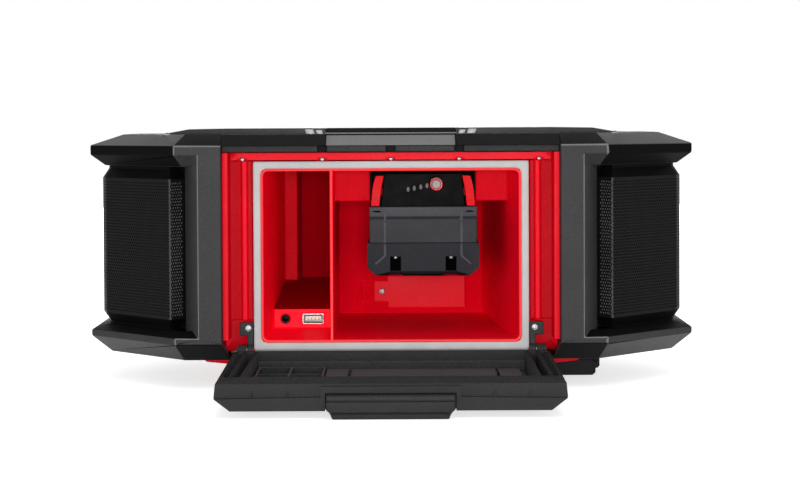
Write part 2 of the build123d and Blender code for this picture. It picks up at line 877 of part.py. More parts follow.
def make_panel():
    plate = block(
        -cover_half, cover_half, panel_depth, panel_depth + skin, panel_base_z, panel_top_z
    )
    plate += block(
        -land_half, land_half, gasket_thick, panel_depth, gasket_base_z - 1, gasket_top_z + 1.2
    )
    step = header_step_x
    plate += block(-step, step, 0, panel_depth, gasket_top_z + 0.3, panel_top_z)
    plate += block(-cover_half, -step, 2, panel_depth, gasket_top_z + 0.3, panel_top_z)
    plate += block(step, cover_half, 2, panel_depth, gasket_top_z + 0.3, panel_top_z)
    column = [
        (pleat_x, panel_depth),
        (pleat_x, 5.5),
        (pleat_x + 3, 5.5),
        (pleat_x + 3.5, 3.4),
        (pleat_x + 6.6, 3.4),
        (pleat_x + 7.4, 7),
        (cover_half - column_width, 7.4),
        (cover_half - column_width, panel_depth),
    ]
    pleats = plan(column, bracket_z[1] + 1.4, gasket_top_z + 1)
    outer = block(
        cover_half - column_width,
        cover_half,
        -column_proud,
        panel_depth,
        lower_rim_z + 1.9,
        panel_top_z,
    )
    boss = block(*bracket_x, bracket_rear, panel_depth, *bracket_z)
    for extra in (pleats, outer, boss):
        plate += extra + mirrored(extra)
    for x in screw_xs:
        plate -= rod_y(x, -1, 2.2, screw_z, screw_head_r + 0.9)
        plate -= rod_y(x, 2, panel_depth + skin + 1, screw_z, 1.55)
    for x in (-1, 1):
        hole_x = x * bracket_screw_x
        plate -= rod_y(hole_x, bracket_rear - 1, panel_depth + skin + 1, bracket_screw_z, 1.55)
    plate -= block(
        -tub_half - tub_clear,
        tub_half + tub_clear,
        -1,
        panel_depth + skin + 1,
        tub_low - tub_clear,
        tub_high + tub_clear,
    )
    return plate


def make_screws():
    """Pan-head screws: five along the panel's top, one per hinge bracket, one for the cell cover."""
    screws = []
    for x in screw_xs:
        head = rod_y(x, 0.5, 2.15, screw_z, screw_head_r)
        screws.append(head + rod_y(x, 2, panel_depth + skin + 5, screw_z, 1.5))
    for way in (-1, 1):
        x = way * bracket_screw_x
        head = rod_y(x, 0.2, bracket_face - seat_gap, bracket_screw_z, screw_head_r)
        screws.append(head + rod_y(x, 1, panel_depth + skin + 5, bracket_screw_z, 1.5))
    head = rod_y(tab_screw_x, bay_depth - 1.3, bay_depth + 0.05, tab_screw_z, screw_head_r)
    screws.append(head + rod_y(tab_screw_x, bay_depth, tub_back + 3, tab_screw_z, 1.25))
    return group(screws)


def make_gasket():
    inner_half = gasket_half_width - gasket_width
    outer = front(
        rounded(gasket_half_width, gasket_base_z, gasket_top_z), seat_gap, gasket_thick - seat_gap
    )
    inner = front(
        rounded(inner_half, gasket_base_z + gasket_width, gasket_top_z - gasket_width), -1, 9
    )
    return outer - inner


def rounded(half, z0, z1):
    return [(-half, z0), (half, z0), (half, z1), (-half, z1)]


# ================= compartment tub =================
tub_back = bay_depth + skin
dock_x = (battery_x - battery_head_width / 2 - 1.8, battery_x + battery_head_width / 2 + 1.8)
dock_top_z = tub_high - skin
dock_back_depth = battery_front_depth + battery_head_length + 5
cover_x = (battery_x + cover_offsets[0], battery_x + cover_offsets[1])
cover_z = (opening_base_z + cover_rise[0], opening_base_z + cover_rise[1])
tab_x = cover_x[0] - tab_length
tab_z = (cover_z[0] + 4.5, cover_z[1] - 3.7)
pocket_x = cover_x[0] - pocket_length
tab_screw_x = (tab_x + cover_x[0]) / 2 + 0.6
tab_screw_z = (tab_z[0] + tab_z[1]) / 2
cell_box_x = (cover_x[0] + 2.4, cover_x[1] - 2.1)
cell_box_z = (cover_z[0] + 1.4, cover_z[1] - 1.4)
jack_x = bay_left + jack_offset
usb_x = jack_x + usb_offset
socket_z = shelf_base_z + socket_rise


def phone_bay():
    low, high = opening_base_z, opening_top_z
    back = bay_depth
    profile = [
        (-1, low - 0.2),
        (shelf_depth, shelf_base_z),
        (shelf_depth, shelf_top_z),
        (back, shelf_top_z + phone_floor_rise),
        (back, high - 3),
        (-1, high),
    ]
    shelf_left = bay_left + 4.8
    walls = [
        (bay_left, -1),
        (shelf_left, shelf_depth),
        (bay_left + bay_draft, back - 10),
        (bay_left + bay_draft + 9, back - 10),
        (bay_left + bay_draft + 12, back),
        (divider_left - 0.6, back),
        (divider_left, -1),
    ]
    return side(profile, bay_left - 1, divider_left + 1) & plan(walls, low - 5, high + 5)


def battery_bay():
    low, high = opening_base_z, opening_top_z
    back = bay_depth
    profile = [
        (-1, low),
        (back, low + 3.2),
        (back, dock_base_z),
        (dock_face_depth, dock_base_z),
        (dock_face_depth, high - 0.6),
        (-1, high),
    ]
    walls = [
        (divider_right, -1),
        (divider_right - 0.4, back),
        (bay_right - right_draft[2], back),
        (bay_right - right_draft[1], back - right_draft[2]),
        (bay_right - right_draft[0], dock_face_depth + 5),
        (bay_right, -1),
    ]
    return side(profile, divider_right - 1, bay_right + 1) & plan(walls, low - 5, high + 5)


def make_tub():
    tub = block(-tub_half, tub_half, gasket_thick, tub_back, tub_low, tub_high)
    bead = block(
        -rim_half_width - 1.4,
        rim_half_width + 1.4,
        0.6,
        gasket_thick,
        opening_base_z - 1.4,
        opening_top_z + 1.4,
    )
    tub += bead
    box_x = (cell_box_x[0] - bay_wall, cell_box_x[1] + bay_wall)
    box_z = (cell_box_z[0] - bay_wall, cell_box_z[1] + bay_wall)
    box_end = bay_depth + cell_box_depth
    tub += block(*box_x, bay_depth, box_end, *box_z)
    tub -= phone_bay()
    tub -= battery_bay()
    # battery dock pocket, open below and towards the bay
    tub -= block(*dock_x, dock_face_depth - 1, dock_back_depth, dock_base_z - 1, dock_top_z)
    # hollows left by the moulding, open above, below and at the side
    roof = dock_base_z + bay_wall
    left_end = divider_right + bay_wall
    tub -= block(left_end, dock_x[0] - bay_wall, dock_face_depth + 2.5, bay_depth, roof, body_top_z)
    tub -= block(
        dock_x[1] + bay_wall, bay_right - right_draft[2] - 0.2, dock_face_depth + 2.5, bay_depth, roof, body_top_z
    )
    tub -= block(
        dock_x[0], dock_x[1], dock_back_depth + bay_wall, bay_depth, roof, body_top_z
    )
    under = shelf_top_z - bay_wall
    tub -= block(
        bay_left + 7, divider_left - bay_wall, shelf_depth + bay_wall, bay_depth, 0, under
    )
    # backup cell box and the seat of its cover
    tub -= block(*cell_box_x, bay_depth - 1, box_end - bay_wall, *cell_box_z)
    seat = bay_depth + pocket_depth
    tub -= block(*cover_x, bay_depth - 1, seat, *cover_z)
    tub -= block(pocket_x, cover_x[0] + 1, bay_depth - 1, seat, *tab_z)
    tub -= rod_y(tab_screw_x, bay_depth, tub_back + 1, tab_screw_z, 1.3)
    # sockets
    tub -= rod_y(jack_x, shelf_depth - 1, shelf_depth + 5, socket_z, jack_r + seat_gap)
    tub -= block(
        usb_x - usb_half - seat_gap,
        usb_x + usb_half + seat_gap,
        shelf_depth - 1,
        shelf_depth + 5,
        socket_z - usb_high - seat_gap,
        socket_z + usb_high + seat_gap,
    )
    return tub


def make_cell_cover():
    g = 0.15
    d0, d1 = bay_depth + 0.1, bay_depth + pocket_depth - seat_gap
    plate = block(cover_x[0] + g, cover_x[1] - g, d0, d1, cover_z[0] + g, cover_z[1] - g)
    plate += block(tab_x, cover_x[0] + 1, d0, d1, tab_z[0] + g, tab_z[1] - g)
    plate -= rod_y(tab_screw_x, d0 - 1, d1 + 1, tab_screw_z, 1.4)
    return plate


def make_backup_cells():
    """Two slim cells that keep the clock running."""
    r = slim_cell_r
    x0 = (cell_box_x[0] + cell_box_x[1] - slim_cell_length) / 2
    depth = bay_depth + cell_box_depth - bay_wall - fit_gap - r
    cells = []
    for z in (cell_box_z[0] + fit_gap + r, cell_box_z[1] - fit_gap - r):
        cell = rod_x(x0, x0 + slim_cell_length, depth, z, r) + rod_x(x0 - 1, x0, depth, z, 2)
        cells.append(cell)
    return group(cells)


jack_bore_r = 1.8
jack_bore_end = shelf_depth + 13


def make_jack():
    start, half = shelf_depth + bay_wall + seat_gap, 4.0
    body = block(jack_x - half, jack_x + half, start, start + 12.45, socket_z - 4.1, socket_z + 4.1)
    jack = body + rod_y(jack_x, shelf_depth - 0.8, start + 5, socket_z, jack_r)
    return jack - rod_y(jack_x, shelf_depth - 2, jack_bore_end, socket_z, jack_bore_r)


def make_usb():
    w, h, wall = usb_half, usb_high, 0.6
    d0, d1 = shelf_depth - 0.5, shelf_depth + 14
    shell = block(usb_x - w, usb_x + w, d0, d1, socket_z - h, socket_z + h)
    shell -= block(
        usb_x - w + wall, usb_x + w - wall, d0 - 1, d1 - wall, socket_z - h + wall,
        socket_z + h - wall,
    )
    tongue = block(usb_x - 5.6, usb_x + 5.6, d0 + 1, d1 - wall, socket_z - 0.2, socket_z + 1.9)
    return group([shell, tongue])


# ================= battery dock and battery =================
head_half = battery_head_width / 2
rail_z = (head_base_z + rail_rise[0], head_base_z + rail_rise[1])
head_end = battery_front_depth + battery_head_length
blade_xs = [battery_x + x for x in blade_offsets]
blade_z = (head_base_z + blade_rise[0], head_base_z + blade_rise[1])


def make_dock():
    d0, d1 = dock_face_depth + 1, dock_back_depth - seat_gap
    x0, x1 = dock_x[0] + seat_gap, dock_x[1] - seat_gap
    inside = (battery_x - head_half - fit_gap, battery_x + head_half + fit_gap)
    low, high = dock_base_z + fit_gap, dock_top_z - seat_gap
    dock = block(x0, x1, d0, d1, low, high)
    dock -= block(*inside, d0 - 1, head_end + 1.2, low - 1, head_top_z + fit_gap)
    rails_from = battery_front_depth + latch_long + 4
    for way in (-1, 1):
        edge = battery_x + way * (head_half + 0.6)
        tip = battery_x + way * (head_half - rail_bite + fit_gap)
        rail = block(
            min(edge, tip), max(edge, tip), rails_from, head_end, rail_z[0] + fit_gap,
            rail_z[1] - fit_gap,
        )
        dock += rail
    for x in blade_xs:
        dock -= block(
            x - blade_half - seat_gap, x + blade_half + seat_gap, head_end, d1 + 1,
            blade_z[0] - seat_gap, blade_z[1] + seat_gap,
        )
    return dock


def make_blades():
    blades = []
    for x in blade_xs:
        blades.append(
            block(
                x - blade_half, x + blade_half, head_end - 8, dock_back_depth - seat_gap, *blade_z
            )
        )
    return group(blades)


def battery_shell(z0, z1, half, cut):
    """A block the length of the battery, with its lower long edges cut off."""
    outline = [
        (battery_x - half + cut, z0),
        (battery_x + half - cut, z0),
        (battery_x + half, z0 + 2 * cut),
        (battery_x + half, z1),
        (battery_x - half, z1),
        (battery_x - half, z0 + 2 * cut),
    ]
    return front(outline, battery_front_depth, battery_front_depth + battery_length)


slot_xs = (battery_x - slot_offset, battery_x + slot_offset)
slot_top_z = battery_base_z + slot_rise


def make_battery_base():
    z1 = battery_base_z + case_split
    shell = battery_shell(battery_base_z, z1, battery_width / 2, 2.5)
    front_d, rear_d = battery_front_depth, battery_front_depth + battery_length
    half = battery_width / 2 - case_wall
    shell -= block(
        battery_x - half, battery_x + half, front_d + case_front_wall, rear_d - case_wall,
        battery_base_z + case_wall, z1 + 1,
    )
    for x in slot_xs:
        shell -= block(x - slot_half, x + slot_half, front_d - 1, front_d + slot_run, 0, slot_top_z)
        shell -= rod_z(x, front_d + slot_run / 2, battery_base_z, z1 + 1, battery_screw_r + seat_gap)
    return shell


def make_battery_cover():
    z0 = battery_base_z + case_split + seat_gap
    z1 = head_base_z
    outer = battery_width / 2 - case_step
    shell = battery_shell(z0, z1, outer, 0.6)
    front_d, rear_d = battery_front_depth, battery_front_depth + battery_length
    half = outer - case_wall
    shell -= block(
        battery_x - half, battery_x + half, front_d + case_front_wall, rear_d - case_wall, z0 - 1,
        z1 - case_roof,
    )
    for x in slot_xs:
        shell -= rod_z(x, front_d + slot_run / 2, z0 - 1, z0 + 7, battery_screw_r + seat_gap)
    groove = z0 + 16.8
    for x in (-1, 1):
        edge = battery_x + x * outer
        shell -= block(edge - 0.6, edge + 0.6, front_d - 1, rear_d + 1, groove, groove + 0.9)
    shell -= block(battery_x - 50, battery_x + 50, front_d - 1, front_d + 0.7, groove, groove + 0.9)
    shell -= block(battery_x - 20, battery_x + 20, front_d + 30, front_d + 60, z1 - 7, z1 + 1)
    return shell


latch_gap = latch_travel + 0.4
latch_low, latch_high = head_base_z + 0.3, head_top_z - 1.6


def latch_outline(inward):
    """The visible face of the left-hand battery latch, drawn in by a distance."""
    outer = battery_x - head_half
    return [
        (outer, latch_low),
        (outer + 3.9 + inward, latch_low),
        (outer + 6.2 + inward, latch_high),
        (outer, latch_high),
    ]


def about_battery(part):
    """The same piece on the battery's other side."""
    return Pos(2 * battery_x, 0, 0) * mirrored(part)


def make_battery_head():
    d0, d1 = battery_front_depth, head_end
    head = block(
        battery_x - head_half, battery_x + head_half, d0, d1, head_base_z + seat_gap, head_top_z
    )
    head = chamfer(head.edges().filter_by(Axis.Y).group_by(Axis.Z)[-1], 1.2)
    narrow = 24.5
    head -= block(
        battery_x - narrow, battery_x + narrow, d0 + 3, d1 - 3, head_base_z - 1, head_top_z - 1.3
    )
    recess = front(
        [
            (battery_x - head_half - 1, head_base_z - 1),
            (latch_outline(latch_gap)[1][0], head_base_z - 1),
            (latch_outline(latch_gap)[2][0], latch_high + fit_gap),
            (battery_x - head_half - 1, latch_high + fit_gap),
        ],
        d0 - 1,
        d0 + latch_long + fit_gap + 0.3,
    )
    slot = block(
        battery_x - head_half, battery_x - narrow + 1, d0 + 8.6, d0 + 15.4, head_base_z + 6.6,
        head_base_z + 12.4,
    )
    groove = block(
        battery_x - head_half - 1, battery_x - head_half + rail_bite, d0 + latch_long + 3,
        d1 + 1, *rail_z,
    )
    for cut in (recess, slot, groove):
        head -= cut
        head -= about_battery(cut)
    for x in blade_xs:
        head -= block(
            x - 1.1, x + 1.1, d1 - 9.5, d1 + 1, blade_z[0] - 0.8, blade_z[1] + 0.8
        )
    head -= rod_y(gauge_x, d0 - 1, d0 + 4, gauge_z, gauge_r + fit_gap)
    return head


gauge_x = battery_x + gauge_offset
gauge_z = head_top_z - gauge_drop
gauge_proud = gauge_travel + 0.1


def make_gauge_button():
    d0 = battery_front_depth
    button = rod_y(gauge_x, d0 - gauge_proud, d0 + 3.4, gauge_z, gauge_r)
    return button + rod_y(gauge_x, d0 + 3 + fit_gap, d0 + 4.4, gauge_z, gauge_r + 0.9)


def make_battery_latch():
    d0 = battery_front_depth + 0.3
    latch = front(latch_outline(0), d0, battery_front_depth + latch_long)
    tongue = block(
        battery_x - head_half + 2, battery_x - 22.8, battery_front_depth + 9,
        battery_front_depth + 15, head_base_z + 7, head_base_z + 12,
    )
    return latch + tongue


def make_cells():
    cells = []
    start = battery_front_depth + case_front_wall + fit_gap + cell_r
    for layer in range(2):
        z = battery_base_z + case_wall + fit_gap + cell_r + layer * cell_pitch
        for i in range(cells_in_row):
            depth = start + i * cell_pitch
            x0 = battery_x - cell_length / 2
            cells.append(rod_x(x0, x0 + cell_length, depth, z, cell_r))
    return group(cells)


def make_battery_screws():
    """Screws at the tops of the two slots, up through the seam."""
    screws, depth = [], battery_front_depth + slot_run / 2
    end = battery_base_z + case_split + 6
    for x in slot_xs:
        head = rod_z(x, depth, slot_top_z - 1.6, slot_top_z - seat_gap, battery_screw_r + 0.6)
        screws.append(head + rod_z(x, depth, slot_top_z - 1, end, battery_screw_r))
    return group(screws)


def make_battery():
    save("battery_case_base", make_battery_base())
    save("battery_case_cover", make_battery_cover())
    save("battery_head", make_battery_head())
    save("battery_cells", make_cells())
    save("battery_screws", make_battery_screws())
    save("gauge_button", make_gauge_button())
    latch = make_battery_latch()
    save("battery_latch_left", latch)
    save("battery_latch_right", about_battery(latch))


# ================= door =================
def at(reach):
    """Depth of a place on the open door, from its distance to the hinge axis."""
    return hinge_depth - reach


side_flat_z = door_base_z + 8.5
step_z = door_base_z + 8.2
notch_half = latch_half_width + 0.7
boss_half = notch_half + 2.6
latch_base_z = floor_clearance
latch_top_z = latch_base_z + latch_height
notch_top_z = latch_top_z + 0.6
boss_top_z = notch_top_z + 3.8
notch_floor = door_length - 7.8
latch_pin_reach = door_length - 3.0
latch_pin_z = latch_base_z + 7.6
cell_floor_z = door_base_z + door_skin
rail_xs = (gasket_half_width - 2.8, gasket_half_width + 4.3)
hinge_zone = (bracket_x[0] - fit_gap, bracket_x[0] + 12.5)
cavity_end = notch_floor - 3.0


knuckle_end_x = bracket_x[0] + bracket_leg + fit_gap + knuckle_length


def door_outline():
    half = door_half_width
    return [
        (-half, door_rim_z),
        (half, door_rim_z),
        (half, side_flat_z),
        (half - door_edge_chamfer, door_base_z),
        (-half + door_edge_chamfer, door_base_z),
        (-half, side_flat_z),
    ]


def make_door():
    upper_end = door_length - door_end_step
    panel = front(door_outline(), at(upper_end), at(heel_start))
    lower = front(door_outline(), at(door_length), at(upper_end - 1))
    high = door_rim_z + 1
    lower -= block(-half_width, -boss_half, at(door_length + 1), at(upper_end), step_z, high)
    lower -= block(boss_half, half_width, at(door_length + 1), at(upper_end), step_z, high)
    lower -= block(-half_width, half_width, at(door_length + 1), at(upper_end), boss_top_z, high)
    panel += lower
    cavity = block(
        -door_half_width + door_wall, door_half_width - door_wall, at(cavity_end),
        at(heel_start + door_wall), cell_floor_z, high,
    )
    corner = front(
        [
            (door_half_width - door_edge_chamfer - 1, cell_floor_z - 1),
            (door_half_width, cell_floor_z - 1),
            (door_half_width, side_flat_z + 3),
        ],
        at(cavity_end + 1),
        at(heel_start),
    )
    cavity -= corner + mirrored(corner)
    panel -= cavity
    panel -= block(-notch_half, notch_half, at(door_length + 1), at(notch_floor), 0, notch_top_z)
    low = cell_floor_z - 1
    for x in rail_xs:
        rail = block(x, x + rail_thick, at(cavity_end + 1), at(heel_start + 1), low, door_rim_z)
        panel += rail + mirrored(rail)
    for i in range(9):
        reach = 14 + rung_pitch * i
        rung = block(
            rail_xs[1], door_half_width - 1, at(reach + 1.6), at(reach), low + 3, door_rim_z - 1.5
        )
        panel += rung + mirrored(rung)
    zone = block(
        *hinge_zone, at(knuckle_r + 0.9), at(heel_start - 5), door_base_z - 1, door_rim_z + 5
    )
    panel -= zone + mirrored(zone)
    knuckle_x = (bracket_x[0] + bracket_leg + fit_gap, knuckle_end_x)
    knuckle = rod_x(*knuckle_x, hinge_depth, hinge_z, knuckle_r)
    arm_top = door_rim_z - 0.4
    knuckle += block(
        *knuckle_x, at(knuckle_r + 2), hinge_depth, arm_top - 4.6, arm_top
    ) - block(*knuckle_x, hinge_depth - 1, hinge_depth + 5, 0, hinge_z - knuckle_r)
    bore = rod_x(knuckle_x[0] - 1, knuckle_x[1] + 1, hinge_depth, hinge_z, hinge_pin_r + pin_clearance)
    knuckle -= bore
    panel += knuckle + mirrored(knuckle)
    pin_hole = rod_x(
        -notch_half - 4.2, notch_half + 4.2, at(latch_pin_reach), latch_pin_z,
        latch_pin_r + seat_gap,
    )
    return panel - pin_hole


def make_liner():
    """Ribbed inner panel of the door, screwed to its skin."""
    half = rail_xs[0] - fit_gap
    d0, d1 = at(cavity_end - fit_gap), at(heel_start + door_wall + fit_gap)
    floor = cell_floor_z + 3
    liner = block(-half, half, d0, d1, cell_floor_z + seat_gap, floor)
    step = at(heel_start + door_wall + 6)
    liner += block(-half, half, step, d1, floor - 1, floor + 7.0)
    for x0, x1, top in ((-26, 68, 3.6), (-42.5, -27.8, 3.6), (69.6, 84, 3.6)):
        liner += block(x0, x1, at(cavity_end - 8), at(20), floor - 1, floor + top)
    for x in (-87, -66, -44.5):
        liner += block(x, x + 1.6, at(cavity_end - 8), at(20), floor - 1, floor + 5.2)
    for reach in (20, 52, 84, 110):
        liner += block(-87, -43, at(reach + 1.6), at(reach), floor - 1, floor + 5.2)
    return liner


def make_latch():
    half, cut = latch_half_width, 7.0
    outline = [
        (-half, latch_top_z),
        (-half, latch_base_z + cut * 0.75),
        (-half + cut, latch_base_z),
        (half - cut, latch_base_z),
        (half, latch_base_z + cut * 0.75),
        (half, latch_top_z),
    ]
    outer = door_length + latch_proud
    latch = front(outline, at(outer), at(outer - latch_thick))
    latch -= block(-half - 1, half + 1, at(outer + 1), at(outer - 0.8), latch_top_z - 3.4, 99)
    latch -= block(-half - 1, half + 1, at(outer + 1), at(outer - 0.8), 0, latch_base_z + 3.2)
    inner = outer - latch_thick
    lug = block(-half + 2, half - 2, at(inner + 1), at(latch_pin_reach), latch_pin_z - 3,
                latch_pin_z + 3)
    lug += rod_x(-half + 2, half - 2, at(latch_pin_reach), latch_pin_z, 3)
    latch += lug
    return latch - rod_x(
        -half - 1, half + 1, at(latch_pin_reach), latch_pin_z, latch_pin_r + pin_clearance
    )


def make_latch_pin():
    return rod_x(-notch_half - 4, notch_half + 4, at(latch_pin_reach), latch_pin_z, latch_pin_r)


def make_brackets():
    x0, x1 = bracket_x
    plate = block(x0, x1, bracket_face, bracket_rear - seat_gap, *bracket_z)
    leg_x = (x0, x0 + bracket_leg)
    leg = block(*leg_x, bracket_face, bracket_rear - seat_gap, hinge_z, bracket_z[0] + 1)
    eye = rod_x(*leg_x, hinge_depth, hinge_z, knuckle_r)
    bracket = plate + leg + eye
    bracket -= rod_x(x0 - 1, x1, hinge_depth, hinge_z, hinge_pin_r + seat_gap)
    bracket -= rod_y(bracket_screw_x, 0, 9, bracket_screw_z, 1.55)
    return group([bracket, mirrored(bracket)])


def make_hinge_pins():
    pin = rod_x(bracket_x[0], knuckle_end_x, hinge_depth, hinge_z, hinge_pin_r)
    return group([pin, mirrored(pin)])


# ================= handle and antenna =================
arm_x = (tray_half_width - 3 - handle_arm_width, tray_half_width - 3)
bar_rear = tray_edge + 6
bar_front = bar_rear + handle_bar_depth


def make_handle():
    low = tray_z + fit_gap
    high = handle_axis_z + handle_rise
    end = arm_x[1]
    outline = [
        (-end, low),
        (end, low),
        (end, handle_axis_z + handle_arm_half_height),
        (end - handle_shoulder[0], high - handle_shoulder[1]),
        (end - 3 * handle_shoulder[0], high),
        (3 * handle_shoulder[0] - end, high),
        (handle_shoulder[0] - end, high - handle_shoulder[1]),
        (-end, handle_axis_z + handle_arm_half_height),
    ]
    handle = front(outline, bar_rear, bar_front)
    core = grip_half_width
    handle -= block(-core, core, bar_rear - 1, bar_rear + 2, low - 1, high + 1)
    handle -= block(-core, core, bar_front - 2, bar_front + 1, low - 1, high + 1)
    handle -= block(-core, core, bar_rear - 1, bar_front + 1, high - 2, high + 1)
    handle -= block(-core, core, bar_rear - 1, bar_front + 1, low - 1, low + 2)
    r = handle_arm_half_height
    arm = block(*arm_x, bar_front - 1, mid_depth, handle_axis_z - r, handle_axis_z + r)
    arm += rod_x(*arm_x, mid_depth, handle_axis_z, r)
    arm += rod_x(arm_x[0] + 1, pivot_bore_x - 0.5, mid_depth, handle_axis_z, handle_pivot_r)
    return handle + arm + mirrored(arm)


def make_grip():
    low, high = tray_z + fit_gap, handle_axis_z + handle_rise
    core = grip_half_width
    grip = block(-core + seat_gap, core - seat_gap, bar_rear, bar_front, low, high)
    grip = fillet(grip.edges().filter_by(Axis.X), 1.9)
    return grip - block(
        -core, core, bar_rear + 2 - seat_gap, bar_front - 2 + seat_gap, low + 2 - seat_gap,
        high - 2 + seat_gap,
    )


antenna_depth = 2 * mid_depth - tray_edge - mast_edge
mast_z = tray_z + fit_gap + mast_r + 0.4
ear_r = mast_r + 0.5


def make_yoke():
    x = mast_hinge_x
    yoke = None
    for way in (-1, 1):
        near = antenna_depth + way * (eye_half + fit_gap)
        far = near + way * ear_thick
        span = (min(near, far), max(near, far))
        ear = block(x - ear_r, x + ear_r, *span, tray_z, mast_z)
        ear += rod_y(x, *span, mast_z, ear_r)
        yoke = ear if yoke is None else yoke + ear
    reach = eye_half + fit_gap + ear_thick
    foot = block(
        x + ear_r, x + ear_r + 3.5, antenna_depth - reach, antenna_depth + reach, tray_z, mast_z - 1
    )
    yoke += foot
    return yoke - rod_y(x, antenna_depth - 20, antenna_depth + 20, mast_z, 2 + seat_gap)


def make_mast():
    x = mast_hinge_x
    eye = rod_y(x, antenna_depth - eye_half, antenna_depth + eye_half, mast_z, 4.1)
    tip = x - mast_length
    mast = rod_x(tip, x - ear_r - 1, antenna_depth, mast_z, mast_r)
    mast += block(
        x - ear_r - 2, x, antenna_depth - eye_half, antenna_depth + eye_half, mast_z - 2.5,
        mast_z + 2.5,
    )
    mast += Pos(tip, gy(antenna_depth), mast_z) * Sphere(mast_r)
    mast += eye
    return mast - rod_y(x, antenna_depth - 9, antenna_depth + 9, mast_z, 2 + pin_clearance)


def make_antenna_pin():
    reach = eye_half + fit_gap + ear_thick
    return rod_y(mast_hinge_x, antenna_depth - reach, antenna_depth + reach, mast_z, 2)


# ================= power inlet =================
hatch_half = inlet_half_width - 4.5
inlet_top_z = base_z - seat_gap
hatch_axis_z = inlet_top_z - 1.8
hatch_axis_depth = inlet_depth - fit_gap - hatch_thick / 2


def make_inlet():
    x0, x1 = inlet_x - inlet_half_width, inlet_x + inlet_half_width
    end = inlet_depth + inlet_length
    body = block(x0, x1, inlet_depth, end, inlet_base_z, inlet_top_z)
    step = inlet_base_z + 5
    body -= block(x1 - 2.7, x1 + 1, inlet_depth - 1, end + 1, 0, step)
    body -= front([(x1 - 5.5, 0), (x1, 0), (x1, 5)], inlet_depth - 1, end + 1)
    body -= block(x1 - 0.9, x1 + 1, inlet_depth - 1, end + 1, step, step + 1)
    body -= block(
        inlet_x - hatch_half + 2, inlet_x + hatch_half - 2, inlet_depth - 1, end - 18,
        inlet_base_z + 2, inlet_top_z - 3,
    )
    for way in (-1, 1):
        near = inlet_x + way * (hatch_half + fit_gap)
        far = near + way * 2.6
        span = (min(near, far), max(near, far))
        ear = block(*span, hatch_axis_depth, inlet_depth + 1, hatch_axis_z - 1.7, inlet_top_z)
        ear += rod_x(*span, hatch_axis_depth, hatch_axis_z, 1.7)
        body += ear
        body -= rod_x(*span, hatch_axis_depth, hatch_axis_z, 0.9 + pin_clearance)
    return body


def make_hatch():
    x0, x1 = inlet_x - hatch_half, inlet_x + hatch_half
    d1 = inlet_depth - fit_gap
    hatch = block(x0, x1, d1 - hatch_thick, d1, inlet_base_z + 0.6, hatch_axis_z)
    hatch += rod_x(x0, x1, hatch_axis_depth, hatch_axis_z, 1.1)
    hatch += rod_x(x0 - 2.4, x1 + 2.4, hatch_axis_depth, hatch_axis_z, 0.9)
    return hatch


def make_inlet_socket():
    end = inlet_depth + inlet_length - 18
    body = block(inlet_x - 9, inlet_x + 9, end - 8, end - seat_gap, 3.2, 10.4)
    pins = [rod_y(inlet_x + x, end - 16, end - 8, 6.8, 1.2) for x in (-4.3, 4.3)]
    return group([body] + pins)


# ================= power supply and amplifier =================
def make_power_supply():
    """A laminated core with a wound coil, beside the tub on the base plate."""
    low, high = guard_base_z, guard_base_z + supply_height
    x1 = -tub_half - 2
    x0 = x1 - supply_width
    d0, d1 = mid_depth - 14 - supply_length / 2, mid_depth - 14 + supply_length / 2
    limb, foot, gap = 8.0, 6.0, fit_gap
    core = block(x0 + 1, x1 - 1, d0, d1, low, high)
    window = block(x0, x1, d0 + limb, d1 - limb, low + limb, high - limb)
    coil = block(
        x0 + 0.5, x1 - 0.5, d0 + limb + gap, d1 - limb - gap, low + limb + gap, high - limb - gap
    )
    feet = block(x0 + 1, x1 - 1, d0 - foot, d1 + foot, low, low + 2)
    return group([core + feet - window, coil])


def make_heat_sink():
    """A finned plate on the base plate, beside the tub."""
    low, high = guard_base_z, guard_base_z + sink_height
    x0 = tub_half + 2
    run = fin_pitch * (sink_fins - 1)
    start = mid_depth - run / 2 - 1
    sink = block(x0, x0 + 4, start - 2, start + run + 4, low, high)
    for i in range(sink_fins):
        depth = start + fin_pitch * i
        sink += block(x0 + 3, x0 + 3 + fin_reach, depth, depth + 2, low, high)
    return sink


# ================= write every piece =================
os.makedirs("parts", exist_ok=True)
make_guards()
make_speakers()
save("top_cover", make_top_cover())
save("latch_keeper", make_keeper())
save("base_cover", make_base())
save("feet", make_feet())
save("front_panel", make_fascia())
save("display_window", make_window())
save("display_module", make_display())
save("volume_knob", make_knob(-knob_x))
save("tuning_knob", make_knob(knob_x))
for name, x in button_xs.items():
    save(name, make_button(x))
save("main_board", make_board())
save("rear_panel", make_panel())
save("case_screws", make_screws())
save("compartment_gasket", make_gasket())
save("compartment_tub", make_tub())
save("cell_cover", make_cell_cover())
save("backup_cells", make_backup_cells())
save("aux_jack", make_jack())
save("usb_socket", make_usb())
save("dock_rails", make_dock())
save("dock_contacts", make_blades())
make_battery()
save("door_panel", make_door())
save("door_liner", make_liner())
save("door_latch", make_latch())
save("latch_pin", make_latch_pin())
save("hinge_brackets", make_brackets())
save("hinge_pins", make_hinge_pins())
save("carry_handle", make_handle())
save("handle_grip", make_grip())
save("antenna_yoke", make_yoke())
save("antenna_mast", make_mast())
save("antenna_pin", make_antenna_pin())
save("inlet_housing", make_inlet())
save("inlet_hatch", make_hatch())
save("inlet_socket", make_inlet_socket())
save("power_supply", make_power_supply())
save("heat_sink", make_heat_sink())
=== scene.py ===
"""Jobsite radio: rounds, perforates and finishes a packed radio's solids, and sets it on a studio floor."""

